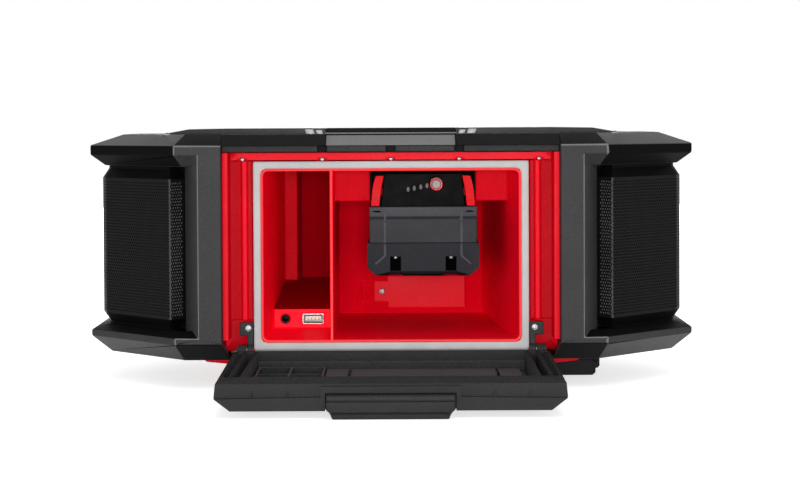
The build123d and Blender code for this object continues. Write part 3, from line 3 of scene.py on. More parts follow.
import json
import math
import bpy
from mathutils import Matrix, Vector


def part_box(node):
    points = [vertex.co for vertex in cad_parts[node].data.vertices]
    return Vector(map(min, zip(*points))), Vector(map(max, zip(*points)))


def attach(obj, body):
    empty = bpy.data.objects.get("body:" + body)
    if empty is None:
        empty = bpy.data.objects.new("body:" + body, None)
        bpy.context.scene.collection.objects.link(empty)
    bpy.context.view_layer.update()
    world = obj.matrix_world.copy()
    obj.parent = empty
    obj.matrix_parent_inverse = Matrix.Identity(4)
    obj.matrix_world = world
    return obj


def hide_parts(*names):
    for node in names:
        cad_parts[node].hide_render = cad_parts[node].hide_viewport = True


bl_info = {
    "name": "Jobsite radio",
    "version": (1, 0, 0),
    "blender": (4, 5, 0),
    "location": "View3D > Sidebar > Radio",
    "description": "Rounds, perforates and finishes the pieces of a jobsite radio",
    "category": "Add Mesh",
}

import bmesh
import bpy
from bpy.props import FloatProperty, FloatVectorProperty, PointerProperty
from mathutils import Vector

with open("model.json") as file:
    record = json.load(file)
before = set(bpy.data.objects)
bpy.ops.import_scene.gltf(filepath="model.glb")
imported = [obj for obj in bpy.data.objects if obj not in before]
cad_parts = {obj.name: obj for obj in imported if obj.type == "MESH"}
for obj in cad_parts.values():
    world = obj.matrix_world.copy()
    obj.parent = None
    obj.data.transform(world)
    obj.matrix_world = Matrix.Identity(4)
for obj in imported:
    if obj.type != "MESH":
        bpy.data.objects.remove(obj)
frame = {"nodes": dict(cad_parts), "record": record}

MM = 0.001
# Steps across a soft rounding, and the sharpest angle in degrees that it leaves standing
SOFT = (3, 34)
FINISH_OF = {row["node"]: row["material_slot"] for row in frame["record"]["subparts"]}
BODY_OF = {
    node: body
    for body, nodes in frame["record"]["behaviour"]["bodies"].items()
    for node in nodes
}

# Places are in millimetres: x across, depth behind the gasket's face, z above the floor.
GASKET_Y = -23.7
# The bay's opening: its middle as (x, z), and how much less it is high than wide, to each side
OPENING_MIDDLE = (0, 87.1)
OPENING_SHORTER = 28.9
# The five screws along the top of the case
CASE_SCREWS_X = (-99, -45.7, 0, 45.7, 99)
# The knobs' middles on the tuning side, one to each side
KNOB_X = 78
KNOB_Z = 112


def plain(corners):
    return [[float(value) for value in corner] for corner in corners]


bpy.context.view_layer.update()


def shade(red, green, blue):
    """A display colour of 0 to 255 as the linear colour that Blender works in."""
    def one(value):
        value /= 255
        return value / 12.92 if value <= 0.04045 else ((value + 0.055) / 1.055) ** 2.4
    return (one(red), one(green), one(blue))


def at(x, depth, z):
    """A point in metres from millimetres: x, depth behind the gasket's face, height."""
    return Vector((x * MM, (GASKET_Y + depth) * MM, z * MM))


def colour(name, description, *display):
    """A colour setting, whose default is a display colour of 0 to 255."""
    return FloatVectorProperty(
        name=name, description=description, default=shade(*display),
        min=0, max=1, size=3, subtype="COLOR",
    )


def length(name, description, millimetres):
    """A length setting, whose default is in millimetres."""
    return FloatProperty(
        name=name, description=description, default=millimetres * MM,
        min=0, subtype="DISTANCE", unit="LENGTH", precision=5,
    )


# ---------------------------------------------------------------- settings


class RadioColours(bpy.types.PropertyGroup):
    guard: colour("Guards", "Moulded end guards and top cover", 42, 42, 43)
    # Painted highlight: the paler colour of the guards' rounded edges round the grille windows.
    edge: colour("Worn edges", "Rounded edges of the black mouldings", 92, 93, 95)
    red: colour("Case", "Red case and base", 207, 6, 27)
    # Painted light: the case's red made lighter for the bay, to make up for the shade inside it.
    bay: colour("Bay", "Red walls of the bay", 248, 5, 34)
    # Painted highlight: a lighter, pinker red for the bay's rounded rim and the divider's front edge.
    lip: colour("Bay rim", "Rounded rim of the bay inside the seal", 250, 52, 56)
    door: colour("Door", "Drop-down door and its latch", 35, 35, 36)
    gasket: colour("Gasket", "Seal round the bay", 177, 176, 176)
    grille: colour("Grilles", "Powder-coated speaker grilles", 19, 19, 19)
    keeper: colour("Latch keeper", "Strip that the door's latch closes against", 84, 84, 85)
    battery: colour("Battery case", "Battery's two grey shells", 42, 42, 46)
    label: colour("Battery head", "Battery's smooth black head", 18, 16, 17)
    latch: colour("Battery latches", "Battery's side latches and gauge ring", 200, 2, 18)
    board: colour("Circuit board", "Solder mask", 20, 74, 44)


class RadioSizes(bpy.types.PropertyGroup):
    edge_radius: length("Edge radius", "Rounding of the large mouldings' edges", 0.9)
    small_radius: length("Small edge radius", "Rounding of the small pieces' edges", 0.35)
    hole_pitch: length("Grille pitch", "From hole to hole along the grille", 2.35)
    hole_size: length("Grille hole", "Width of one hole in the grille", 1.45)
    grain: length("Moulding grain", "Size of the spark texture on the mouldings", 0.55)


class RadioStudio(bpy.types.PropertyGroup):
    place: FloatVectorProperty(
        name="Camera", description="Where the camera stands",
        default=(0.0063, -1.2137, 0.1775), size=3, subtype="XYZ", unit="LENGTH",
    )
    turn: FloatVectorProperty(
        name="Camera turn", description="How the camera is turned",
        default=(math.radians(88.5), math.radians(0.27), 0), size=3, subtype="EULER",
    )
    focal: FloatProperty(
        name="Focal length", description="Lens on a 36 mm sensor, in millimetres",
        default=80.325, min=20, max=300,
    )
    rise: FloatProperty(
        name="Shift", description="Vertical shift of the lens, in picture widths",
        default=-0.0991, min=-1, max=1,
    )
    key: FloatProperty(
        name="Front light", description="Power of the large front light",
        default=35, min=0, subtype="POWER", unit="POWER",
    )
    top: FloatProperty(
        name="Top light", description="Power of the large light overhead",
        default=14.5, min=0, subtype="POWER", unit="POWER",
    )
    back: FloatProperty(
        name="Back light", description="Power of the large light behind",
        default=24, min=0, subtype="POWER", unit="POWER",
    )
    ambient: FloatProperty(
        name="Ambient", description="Even light from all round", default=0.4, min=0, max=2,
    )
    floor: colour("Floor", "Plain pale floor", 236, 236, 236)


# ---------------------------------------------------------------- materials


class Recipe:
    """A principled material whose grain, tone and gloss come from noise in the piece's own space."""

    def __init__(self, name, roughness=0.5, metallic=0.0, specular=0.5, coat=0.0, coat_roughness=0.1):
        self.material = bpy.data.materials.new(name)
        self.material.use_nodes = True
        self.tree = self.material.node_tree
        self.shader = self.tree.nodes["Principled BSDF"]
        self.shader.inputs["Roughness"].default_value = roughness
        self.shader.inputs["Metallic"].default_value = metallic
        self.shader.inputs["Specular IOR Level"].default_value = specular
        self.shader.inputs["Coat Weight"].default_value = coat
        self.shader.inputs["Coat Roughness"].default_value = coat_roughness
        self.space = self.node("ShaderNodeTexCoord").outputs["Object"]
        self.normal = None

    def node(self, kind, **settings):
        made = self.tree.nodes.new(kind)
        for key, value in settings.items():
            setattr(made, key, value)
        return made

    def feed(self, socket, value):
        """Links an output to a socket, or sets a plain number or colour on it."""
        if isinstance(value, bpy.types.NodeSocket):
            self.tree.links.new(value, socket)
        elif hasattr(value, "__len__") and len(value) == 3 and len(socket.default_value) == 4:
            socket.default_value = (*value, 1)
        else:
            socket.default_value = value

    def stretched(self, x, y, z):
        """The piece's own space, scaled along its axes."""
        mapping = self.node("ShaderNodeMapping")
        self.feed(mapping.inputs["Vector"], self.space)
        mapping.inputs["Scale"].default_value = (x, y, z)
        return mapping.outputs["Vector"]

    def noise(self, size, detail=2.0, roughness=0.5, space=None):
        made = self.node("ShaderNodeTexNoise")
        self.feed(made.inputs["Vector"], space or self.space)
        made.inputs["Scale"].default_value = 1 / size
        made.inputs["Detail"].default_value = detail
        made.inputs["Roughness"].default_value = roughness
        return made.outputs["Fac"]

    def cells(self, size, feature="F1", space=None):
        made = self.node("ShaderNodeTexVoronoi", feature=feature)
        self.feed(made.inputs["Vector"], space or self.space)
        made.inputs["Scale"].default_value = 1 / size
        return made.outputs["Distance"]

    def spread(self, value, low, high, to_low=0.0, to_high=1.0):
        """Maps a value from one range onto another."""
        made = self.node("ShaderNodeMapRange")
        ends = {"From Min": low, "From Max": high, "To Min": to_low, "To Max": to_high}
        for key, number in {"Value": value, **ends}.items():
            self.feed(made.inputs[key], number)
        return made.outputs["Result"]

    def maths(self, operation, first, second):
        made = self.node("ShaderNodeMath", operation=operation)
        self.feed(made.inputs[0], first)
        self.feed(made.inputs[1], second)
        return made.outputs[0]

    def mix(self, factor, first, second):
        made = self.node("ShaderNodeMix", data_type="RGBA")
        self.feed(made.inputs[0], factor)
        self.feed(made.inputs[6], first)
        self.feed(made.inputs[7], second)
        return made.outputs[2]

    def bump(self, height, depth, strength=1.0):
        """Adds a layer of relief over those that are there."""
        made = self.node("ShaderNodeBump")
        made.inputs["Strength"].default_value = strength
        made.inputs["Distance"].default_value = depth
        self.feed(made.inputs["Height"], height)
        if self.normal is not None:
            self.feed(made.inputs["Normal"], self.normal)
        self.normal = made.outputs["Normal"]

    def done(self, base, roughness=None):
        """Wires up colour, gloss and relief, and hands over the material."""
        self.feed(self.shader.inputs["Base Color"], base)
        if roughness is not None:
            self.feed(self.shader.inputs["Roughness"], roughness)
        if self.normal is not None:
            self.feed(self.shader.inputs["Normal"], self.normal)
        return self.material


def tone(base, factor):
    """A colour made lighter or darker by a factor."""
    return tuple(min(1.0, max(0.0, value * factor)) for value in base)


def moulded(name, base, roughness, grain, relief, mottle=0.12, specular=0.4, dust=0.06, speckle=0.12):
    """Spark-textured moulded plastic with flow marks and a little handling dust."""
    recipe = Recipe(name, specular=specular)
    fine = recipe.noise(grain, 3.0, 0.6)
    flow = recipe.noise(14 * MM, 3.0)
    scuffs = recipe.noise(45 * MM, 5.0, 0.65, recipe.stretched(1.0, 1.0, 2.2))
    body = recipe.mix(recipe.spread(flow, 0.3, 0.7), tone(base, 1 - mottle), tone(base, 1 + mottle))
    body = recipe.mix(recipe.spread(fine, 0.4, 0.7, 0, 0.5), body, tone(base, 1.7))
    pitted = recipe.noise(grain * 1.9, 1.0)
    body = recipe.mix(recipe.spread(pitted, 0.5, 0.72, 0, speckle), body, tone(base, 2.6))
    body = recipe.mix(recipe.spread(pitted, 0.5, 0.28, 0, speckle), body, tone(base, 0.2))
    dusted = recipe.spread(scuffs, 0.52, 0.75, 0, dust)
    body = recipe.mix(dusted, body, (0.42, 0.41, 0.4))
    recipe.bump(fine, relief)
    recipe.bump(flow, 0.05 * MM, 0.3)
    worn = recipe.maths("ADD", fine, scuffs)
    return recipe.done(body, recipe.spread(worn, 0.6, 1.4, roughness - 0.09, roughness + 0.09))


def glossy(name, base, roughness=0.18, specular=0.5, coat=0.4, mottle=0.06):
    """Smooth plastic with faint swirls and fingerprints in its gloss."""
    recipe = Recipe(name, specular=specular, coat=coat, coat_roughness=0.08)
    haze = recipe.noise(9 * MM, 4.0, 0.6)
    fine = recipe.noise(0.7 * MM, 2.0)
    body = recipe.mix(recipe.spread(haze, 0.3, 0.7), tone(base, 1 - mottle), tone(base, 1 + mottle))
    recipe.bump(fine, 0.012 * MM, 0.5)
    recipe.bump(haze, 0.06 * MM, 0.3)
    return recipe.done(body, recipe.spread(haze, 0.3, 0.75, roughness - 0.06, roughness + 0.1))


def rubber(name, base, roughness=0.62, grain=0.9, specular=0.3):
    """Matt rubber with a fine skin and paler rubbed patches."""
    recipe = Recipe(name, specular=specular)
    skin = recipe.cells(grain * MM)
    patches = recipe.noise(16 * MM, 4.0, 0.6)
    body = recipe.mix(recipe.spread(patches, 0.35, 0.7), tone(base, 0.93), tone(base, 1.06))
    recipe.bump(skin, 0.04 * MM, 0.5)
    recipe.bump(patches, 0.15 * MM, 0.4)
    return recipe.done(body, recipe.spread(patches, 0.3, 0.7, roughness - 0.07, roughness + 0.07))


def metal(name, base, roughness=0.3, brushed=None, pits=0.02):
    """Bare metal with brushed or tumbled marks."""
    recipe = Recipe(name, metallic=1.0)
    space = recipe.stretched(*brushed) if brushed else recipe.space
    marks = recipe.noise(1.1 * MM, 4.0, 0.65, space)
    stain = recipe.noise(11 * MM, 3.0)
    body = recipe.mix(recipe.spread(stain, 0.3, 0.7), tone(base, 0.86), tone(base, 1.08))
    recipe.bump(marks, pits * MM, 0.6)
    worn = recipe.maths("ADD", marks, stain)
    return recipe.done(body, recipe.spread(worn, 0.7, 1.3, roughness - 0.08, roughness + 0.12))


def powder(name, base, roughness=0.5):
    """Powder-coated sheet: fine orange peel over metal."""
    recipe = Recipe(name, specular=0.05)
    peel = recipe.cells(0.5 * MM, "SMOOTH_F1")
    patches = recipe.noise(30 * MM, 3.0)
    body = recipe.mix(recipe.spread(patches, 0.3, 0.7), tone(base, 0.85), tone(base, 1.2))
    recipe.bump(peel, 0.03 * MM, 0.6)
    return recipe.done(body, recipe.spread(patches, 0.3, 0.7, roughness - 0.06, roughness + 0.08))


def paper(name, base):
    """Pressed paper pulp with fibres."""
    recipe = Recipe(name, specular=0.15)
    fibres = recipe.noise(0.9 * MM, 6.0, 0.7)
    recipe.bump(fibres, 0.12 * MM, 0.8)
    pulp = recipe.mix(fibres, tone(base, 0.7), tone(base, 1.5))
    return recipe.done(pulp, recipe.spread(fibres, 0.3, 0.7, 0.7, 0.9))


def board(name, base):
    """Solder mask with buried tracks and small bright pads."""
    recipe = Recipe(name, specular=0.5, coat=0.3)
    tracks = recipe.node("ShaderNodeTexBrick", offset=0.5)
    recipe.feed(tracks.inputs["Vector"], recipe.stretched(1, 1, 1))
    recipe.feed(tracks.inputs["Color1"], tone(base, 0.8))
    recipe.feed(tracks.inputs["Color2"], tone(base, 1.1))
    recipe.feed(tracks.inputs["Mortar"], tone(base, 1.9))
    tracks.inputs["Scale"].default_value = 220
    pads = recipe.cells(3.4 * MM)
    body = recipe.mix(recipe.maths("LESS_THAN", pads, 0.16), tracks.outputs["Color"], shade(190, 178, 140))
    recipe.bump(tracks.outputs["Fac"], 0.03 * MM, 0.4)
    return recipe.done(body, recipe.spread(pads, 0.1, 0.5, 0.25, 0.4))


MADE = {}


def finishes(colours, sizes):
    """How to make every finish of the radio, by its slot in the record."""
    grain = sizes.grain
    guard = tuple(colours.guard)
    red = tuple(colours.red)
    bay = tuple(colours.bay)
    return {
        "guard_plastic": lambda n: moulded(
            n, tone(guard, 1.15), roughness=0.5, grain=grain, relief=0.1 * MM, mottle=0.08, specular=0.1,
            dust=0.01, speckle=0.2,
        ),
        # Painted light: a lighter copy of the guard plastic for the guards' outer sides.
        "guard_side": lambda n: moulded(
            n, tone(guard, 1.28), roughness=0.48, grain=grain, relief=0.1 * MM, mottle=0.08, specular=0.1,
            dust=0.01, speckle=0.2,
        ),
        # Painted light: a lighter copy for the slanted facets above and below.
        "guard_facet": lambda n: moulded(
            n, tone(guard, 1.7), roughness=0.45, grain=grain, relief=0.08 * MM, mottle=0.08,
            specular=0.12, dust=0.01, speckle=0.22,
        ),
        # Painted shade: a dark copy under the flanges, behind the rims and on the ledge.
        "guard_dark": lambda n: moulded(
            n, tone(guard, 0.13), roughness=0.6, grain=grain, relief=0.05 * MM, mottle=0.1, specular=0.02,
            dust=0.004,
        ),
        # Painted shade: a darker copy for the flat faces above and below, and for the top cover.
        "guard_top": lambda n: moulded(
            n, tone(guard, 0.26), roughness=0.5, grain=grain, relief=0.05 * MM, mottle=0.1, specular=0.03,
            dust=0.004, speckle=0.2,
        ),
        # Painted highlight: a lighter, glossier copy of the guard plastic for the rounded edges round the
        # windows.
        "guard_edge": lambda n: moulded(
            n, tuple(colours.edge), roughness=0.36, grain=grain, relief=0.02 * MM, mottle=0.1,
            specular=0.2, dust=0.01,
        ),
        # Painted light: a copy of the guard plastic for the lips over the case, lighter than the shade under
        # the overhang leaves them.
        "lip_plastic": lambda n: moulded(
            n, tone(guard, 0.94), roughness=0.45, grain=grain, relief=0.05 * MM, mottle=0.1,
            specular=0.06, dust=0.01, speckle=0.2,
        ),
        "red_plastic": lambda n: moulded(
            n, red, roughness=0.42, grain=0.8 * MM, relief=0.03 * MM, mottle=0.04, specular=0.06,
            dust=0.0, speckle=0.05,
        ),
        # Painted shade: a darker copy of the case red for the bottoms of the grooves.
        "red_groove": lambda n: moulded(
            n, tone(red, 0.62), roughness=0.42, grain=0.8 * MM, relief=0.03 * MM, mottle=0.04,
            specular=0.04, dust=0.0, speckle=0.05,
        ),
        # Painted light: the bay's lighter red.
        "bay_red": lambda n: moulded(
            n, bay, roughness=0.42, grain=0.8 * MM, relief=0.03 * MM, mottle=0.04, specular=0.06,
            dust=0.0, speckle=0.05,
        ),
        # Painted shade: darker copies of the bay's red for the cell cover, the rear wall, the block's front
        # face and the phone bay's far end.
        "bay_cover": lambda n: moulded(
            n, tone(bay, 0.74), roughness=0.42, grain=0.8 * MM, relief=0.03 * MM, mottle=0.04,
            specular=0.06, dust=0.0, speckle=0.05,
        ),
        "bay_back": lambda n: moulded(
            n, tone(bay, 0.6), roughness=0.44, grain=0.8 * MM, relief=0.03 * MM, mottle=0.05,
            specular=0.0, dust=0.0, speckle=0.05,
        ),
        "bay_shade": lambda n: moulded(
            n, tone(bay, 0.55), roughness=0.46, grain=0.8 * MM, relief=0.03 * MM, mottle=0.04,
            specular=0.02, dust=0.0, speckle=0.05,
        ),
        "bay_deep": lambda n: moulded(
            n, tone(bay, 0.26), roughness=0.5, grain=0.8 * MM, relief=0.03 * MM, mottle=0.04,
            specular=0.0, dust=0.0, speckle=0.05,
        ),
        # Painted highlight on the bay's rounded rim.
        "bay_rim": lambda n: glossy(n, tuple(colours.lip), roughness=0.34, specular=0.2, coat=0.0),
        "door_plastic": lambda n: moulded(
            n, tone(colours.door, 0.97), roughness=0.46, grain=grain, relief=0.07 * MM, mottle=0.08,
            specular=0.08, dust=0.01, speckle=0.2,
        ),
        # Painted light: a lighter copy of the door's plastic for its upward faces.
        "door_rim": lambda n: moulded(
            n, tone(colours.door, 1.5), roughness=0.6, grain=grain, relief=0.05 * MM, mottle=0.08,
            specular=0.0, dust=0.01, speckle=0.2,
        ),
        "liner_plastic": lambda n: moulded(
            n, shade(52, 53, 54), roughness=0.6, grain=grain, relief=0.06 * MM, mottle=0.08, specular=0.0,
            dust=0.01, speckle=0.2,
        ),
        # Painted light: a lighter copy of the liner's plastic for its upper faces and for the door's side
        # walls.
        "liner_edge": lambda n: moulded(
            n, shade(66, 67, 68), roughness=0.55, grain=grain, relief=0.05 * MM, mottle=0.08,
            specular=0.04, dust=0.01, speckle=0.2,
        ),
        "latch_plastic": lambda n: moulded(
            n, tone(colours.door, 0.9), roughness=0.44, grain=grain, relief=0.07 * MM, mottle=0.08,
            specular=0.08, dust=0.01, speckle=0.2,
        ),
        "gasket_rubber": lambda n: rubber(n, tuple(colours.gasket)),
        "grille_metal": lambda n: powder(n, tuple(colours.grille)),
        # Painted light: paler hole walls and cut edges along the hems.
        "grille_bright": lambda n: powder(n, shade(92, 92, 94), roughness=0.4),
        # Painted highlight along the folds.
        "grille_fold": lambda n: powder(n, shade(62, 62, 63), roughness=0.4),
        "box_plastic": lambda n: moulded(
            n, shade(6, 6, 6), roughness=0.6, grain=grain, relief=0.08 * MM, mottle=0.15, specular=0.03,
            dust=0.004,
        ),
        "speaker_parts": lambda n: glossy(n, shade(30, 30, 32), roughness=0.35, specular=0.4, coat=0.1),
        "cone_paper": lambda n: paper(n, shade(34, 33, 33)),
        "seal_trim": lambda n: rubber(n, shade(104, 103, 102), roughness=0.5),
        "bright_screw": lambda n: metal(n, shade(172, 173, 175), roughness=0.46),
        "slot_screw": lambda n: metal(n, shade(112, 113, 115), roughness=0.4),
        "dark_steel": lambda n: moulded(
            n, shade(38, 38, 39), roughness=0.4, grain=0.4 * MM, relief=0.03 * MM, mottle=0.15,
            specular=0.08, dust=0.02,
        ),
        "battery_grey": lambda n: moulded(
            n, tone(colours.battery, 0.85), roughness=0.4, grain=0.6 * MM, relief=0.035 * MM, mottle=0.1,
            specular=0.06, dust=0.01,
        ),
        "battery_top": lambda n: moulded(
            n, tone(colours.battery, 1.3), roughness=0.34, grain=0.6 * MM, relief=0.03 * MM, mottle=0.1,
            specular=0.06, dust=0.01,
        ),
        # Painted shade: a darker copy of the battery grey for the case's lower front edge, where it turns
        # under.
        "battery_low": lambda n: moulded(
            n, tone(colours.battery, 0.3), roughness=0.4, grain=0.6 * MM, relief=0.03 * MM, mottle=0.1,
            specular=0.05, dust=0.01,
        ),
        # Painted highlight: a much lighter copy of the battery grey for the fine creases.
        "battery_edge": lambda n: moulded(
            n, tone(colours.battery, 2.6), roughness=0.34, grain=0.6 * MM, relief=0.03 * MM, mottle=0.1,
            specular=0.1, dust=0.01,
        ),
        "dock_black": lambda n: moulded(
            n, shade(8, 8, 8), roughness=0.5, grain=0.6 * MM, relief=0.03 * MM, mottle=0.1, specular=0.02,
            dust=0.0,
        ),
        "battery_label": lambda n: glossy(
            n, tone(colours.label, 0.55), roughness=0.34, specular=0.01, coat=0.0,
        ),
        "latch_red": lambda n: glossy(n, tuple(colours.latch), roughness=0.4, specular=0.05, coat=0.0),
        "gauge_red": lambda n: glossy(n, tuple(colours.latch), roughness=0.3, specular=0.4, coat=0.2),
        "gauge_light": lambda n: glossy(n, shade(150, 150, 152), roughness=0.35, specular=0.2, coat=0.0),
        "charge_light": lambda n: glossy(n, shade(82, 80, 82), roughness=0.35, specular=0.1, coat=0.0),
        # Painted shade: near-black for the battery's slots, its notches and the strips under the screw
        # hoods.
        "slot_black": lambda n: glossy(n, shade(4, 4, 5), roughness=0.5, specular=0.0, coat=0.0),
        "socket_white": lambda n: glossy(n, shade(206, 206, 204), roughness=0.4, specular=0.3, coat=0.0),
        "cell_can": lambda n: metal(n, shade(150, 152, 156), roughness=0.34, brushed=(1, 1, 8)),
        "contact_metal": lambda n: metal(n, shade(206, 206, 204), roughness=0.26, brushed=(1, 8, 1)),
        "brass": lambda n: metal(n, shade(120, 98, 58), roughness=0.3),
        "black_plastic": lambda n: moulded(
            n, shade(20, 20, 21), roughness=0.42, grain=0.5 * MM, relief=0.03 * MM, mottle=0.12,
            specular=0.05, dust=0.01,
        ),
        "foot_rubber": lambda n: rubber(n, shade(30, 30, 31), roughness=0.75, grain=1.1),
        "grip_rubber": lambda n: rubber(n, shade(18, 18, 19), roughness=0.6, grain=0.9, specular=0.06),
        "handle_plastic": lambda n: moulded(
            n, shade(19, 19, 20), roughness=0.36, grain=grain, relief=0.04 * MM, mottle=0.12,
            specular=0.1, dust=0.01,
        ),
        # Painted highlight: pale grey standing for glints on the handle's glossy black plastic.
        "collar_plastic": lambda n: glossy(n, shade(168, 168, 170), roughness=0.24, specular=0.4, coat=0.3),
        "window_plastic": lambda n: window(n),
        "display_glass": lambda n: glossy(n, shade(150, 164, 138), roughness=0.3, specular=0.4, coat=0.2),
        "digit_ink": lambda n: glossy(n, shade(26, 30, 26), roughness=0.4, specular=0.3, coat=0.0),
        "knob_plastic": lambda n: moulded(
            n, shade(30, 30, 32), roughness=0.44, grain=0.5 * MM, relief=0.04 * MM, mottle=0.12,
            specular=0.4, dust=0.03,
        ),
        "knob_face": lambda n: metal(n, shade(96, 97, 100), roughness=0.36, brushed=(1, 1, 14), pits=0.03),
        "mark_white": lambda n: glossy(n, shade(222, 222, 220), roughness=0.4, specular=0.3, coat=0.0),
        "board_green": lambda n: board(n, tuple(colours.board)),
        "transformer_steel": lambda n: metal(
            n, shade(120, 122, 126), roughness=0.42, brushed=(1, 12, 1), pits=0.05,
        ),
        "sink_aluminium": lambda n: metal(n, shade(176, 178, 182), roughness=0.34, brushed=(1, 1, 10)),
        "mast_metal": lambda n: metal(n, shade(206, 208, 212), roughness=0.16, brushed=(0.3, 6, 6)),
        "keeper_grey": lambda n: moulded(
            n, tuple(colours.keeper), roughness=0.4, grain=0.45 * MM, relief=0.02 * MM, mottle=0.06,
            specular=0.45, dust=0.05,
        ),
    }


def window(name):
    """Clear plastic with a faint haze."""
    recipe = Recipe(name, roughness=0.06, specular=0.5)
    haze = recipe.noise(12 * MM, 3.0)
    recipe.shader.inputs["Transmission Weight"].default_value = 0.9
    recipe.bump(haze, 0.02 * MM, 0.2)
    tint = recipe.mix(haze, (0.62, 0.65, 0.66), (0.74, 0.77, 0.78))
    return recipe.done(tint, recipe.spread(haze, 0.3, 0.7, 0.04, 0.12))


def finish(name):
    """The material of a finish, made the first time it is asked for."""
    if name not in MADE:
        scene = bpy.context.scene
        MADE[name] = finishes(scene.radio_colours, scene.radio_sizes)[name]("radio_" + name)
    return MADE[name]


# ---------------------------------------------------------------- meshes


def link(name, mesh, body, finish_name, *replaced, slot=None, materials=None):
    """An object in the scene that rides on a body and stands for the CAD nodes it replaces."""
    piece = bpy.data.objects.new(name, mesh)
    bpy.context.scene.collection.objects.link(piece)
    for each in materials or [finish_name]:
        mesh.materials.append(finish(each))
    if replaced:
        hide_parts(*replaced)
    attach(piece, body)
    return piece


def from_points(name, points, faces):
    """A mesh from its points and faces, without doubled or broken ones."""
    mesh = bpy.data.meshes.new(name)
    mesh.from_pydata([tuple(point) for point in points], [], [tuple(face) for face in faces])
    mesh.validate(clean_customdata=False)
    return mesh


def welded(node):
    """A CAD node's mesh with its facets joined at their shared corners."""
    work = bmesh.new()
    work.from_mesh(frame["nodes"][node].data)
    bmesh.ops.remove_doubles(work, verts=work.verts, dist=2e-6)
    bmesh.ops.dissolve_degenerate(work, edges=work.edges, dist=2e-6)
    work.verts.index_update()
    points = [v.co.copy() for v in work.verts]
    faces = [[v.index for v in f.verts] for f in work.faces]
    work.free()
    return from_points(node + "_skin", points, faces)


def round_edges(piece, radius, steps=2, sharpest=32, held=False):
    """Bevels every edge that turns by more than the sharpest angle let stand.

    held narrows the bevel to the piece's shortest step, where a full one would run past it.
    """
    bevel = piece.modifiers.new("rounded", "BEVEL")
    bevel.limit_method = "ANGLE"
    bevel.angle_limit = math.radians(sharpest)
    bevel.width = radius * MM
    bevel.segments = steps
    bevel.use_clamp_overlap = held
    bevel.loop_slide = False
    smooth(piece)
    return piece


def round_lines(piece, pick, radius, steps, material=-1):
    """Bevels the edges whose ends, as places in millimetres, pick accepts.

    material is the index of the new faces' finish, or -1 for that of the faces beside them.
    """
    mesh = piece.data
    layer = mesh.attributes.new("bevel_weight_edge", "FLOAT", "EDGE")
    spots = [millimetres(v.co) for v in mesh.vertices]
    for edge in mesh.edges:
        first, second = edge.vertices
        layer.data[edge.index].value = 1.0 if pick(spots[first], spots[second]) else 0.0
    bevel = piece.modifiers.new("lines", "BEVEL")
    bevel.limit_method = "WEIGHT"
    bevel.width = radius * MM
    bevel.segments = steps
    bevel.material = material
    bevel.use_clamp_overlap = False
    bevel.loop_slide = False


def millimetres(point):
    """x, depth behind the gasket's face and height of a point, in millimetres."""
    return (point.x / MM, point.y / MM - GASKET_Y, point.z / MM)


def smooth(piece):
    """Shades a bevelled piece smoothly, with its large faces kept flat."""
    piece.data.polygons.foreach_set("use_smooth", [True] * len(piece.data.polygons))
    evened = piece.modifiers.new("even", "WEIGHTED_NORMAL")
    evened.mode = "FACE_AREA"
    evened.keep_sharp = False
    return piece


def dress(
    node, radius=None, steps=2, sharpest=32, finishes_used=None, chooser=None,
    lines=None, mould=None, held=False,
):
    """Stands in for a CAD node with rounded edges.

    chooser picks each face's finish by its middle and normal, lines are the values that round_lines
    takes, and mould moves the corners. Places are in millimetres.
    """
    sizes = bpy.context.scene.radio_sizes
    slot = FINISH_OF[node]
    mesh = welded(node)
    if mould:
        for vertex in mesh.vertices:
            vertex.co = at(*mould(*millimetres(vertex.co)))
    used = finishes_used or [slot]
    piece = link(node + "_dressed", mesh, BODY_OF[node], slot, node, slot=slot, materials=used)
    if chooser:
        for face in mesh.polygons:
            face.material_index = chooser(millimetres(face.center), face.normal)
    if lines:
        round_lines(piece, *lines)
    return round_edges(piece, sizes.small_radius / MM if radius is None else radius, steps, sharpest, held)


def keep(*nodes):
    """Gives CAD nodes whose shape is already right the finish of their slot."""
    for node in nodes:
        piece = frame["nodes"][node]
        piece.data.materials.clear()
        piece.data.materials.append(finish(FINISH_OF[node]))
        piece.data.polygons.foreach_set("use_smooth", [False] * len(piece.data.polygons))


def turned(name, profile, middle, axis, segments=32):
    """A lathe-turned mesh.

    profile holds (radius, height) pairs in millimetres, from the axis outwards and back.
    """
    spin = Vector((0, 0, 1)).rotation_difference(Vector(axis)).to_matrix()
    points, faces = [], []
    for radius, height in profile:
        for step in range(segments):
            angle = 2 * math.pi * step / segments
            place = Vector((radius * math.cos(angle), radius * math.sin(angle), height))
            points.append(middle + spin @ place * MM)
    rows = len(profile)
    for row in range(rows - 1):
        for step in range(segments):
            after = (step + 1) % segments
            near, far = row * segments, (row + 1) * segments
            faces.append((near + step, near + after, far + after, far + step))
    faces.append(tuple(reversed(range(segments))))
    faces.append(tuple((rows - 1) * segments + step for step in range(segments)))
    mesh = from_points(name, points, faces)
    mesh.polygons.foreach_set("use_smooth", [True] * len(mesh.polygons))
    return mesh


def join_meshes(name, meshes):
    """One mesh from several that lie apart."""
    points, faces, rounds = [], [], []
    for mesh in meshes:
        start = len(points)
        points.extend(v.co.copy() for v in mesh.vertices)
        for face in mesh.polygons:
            faces.append([start + index for index in face.vertices])
            rounds.append(face.use_smooth)
        bpy.data.meshes.remove(mesh)
    joined = from_points(name, points, faces)
    if len(joined.polygons) == len(rounds):
        joined.polygons.foreach_set("use_smooth", rounds)
    return joined


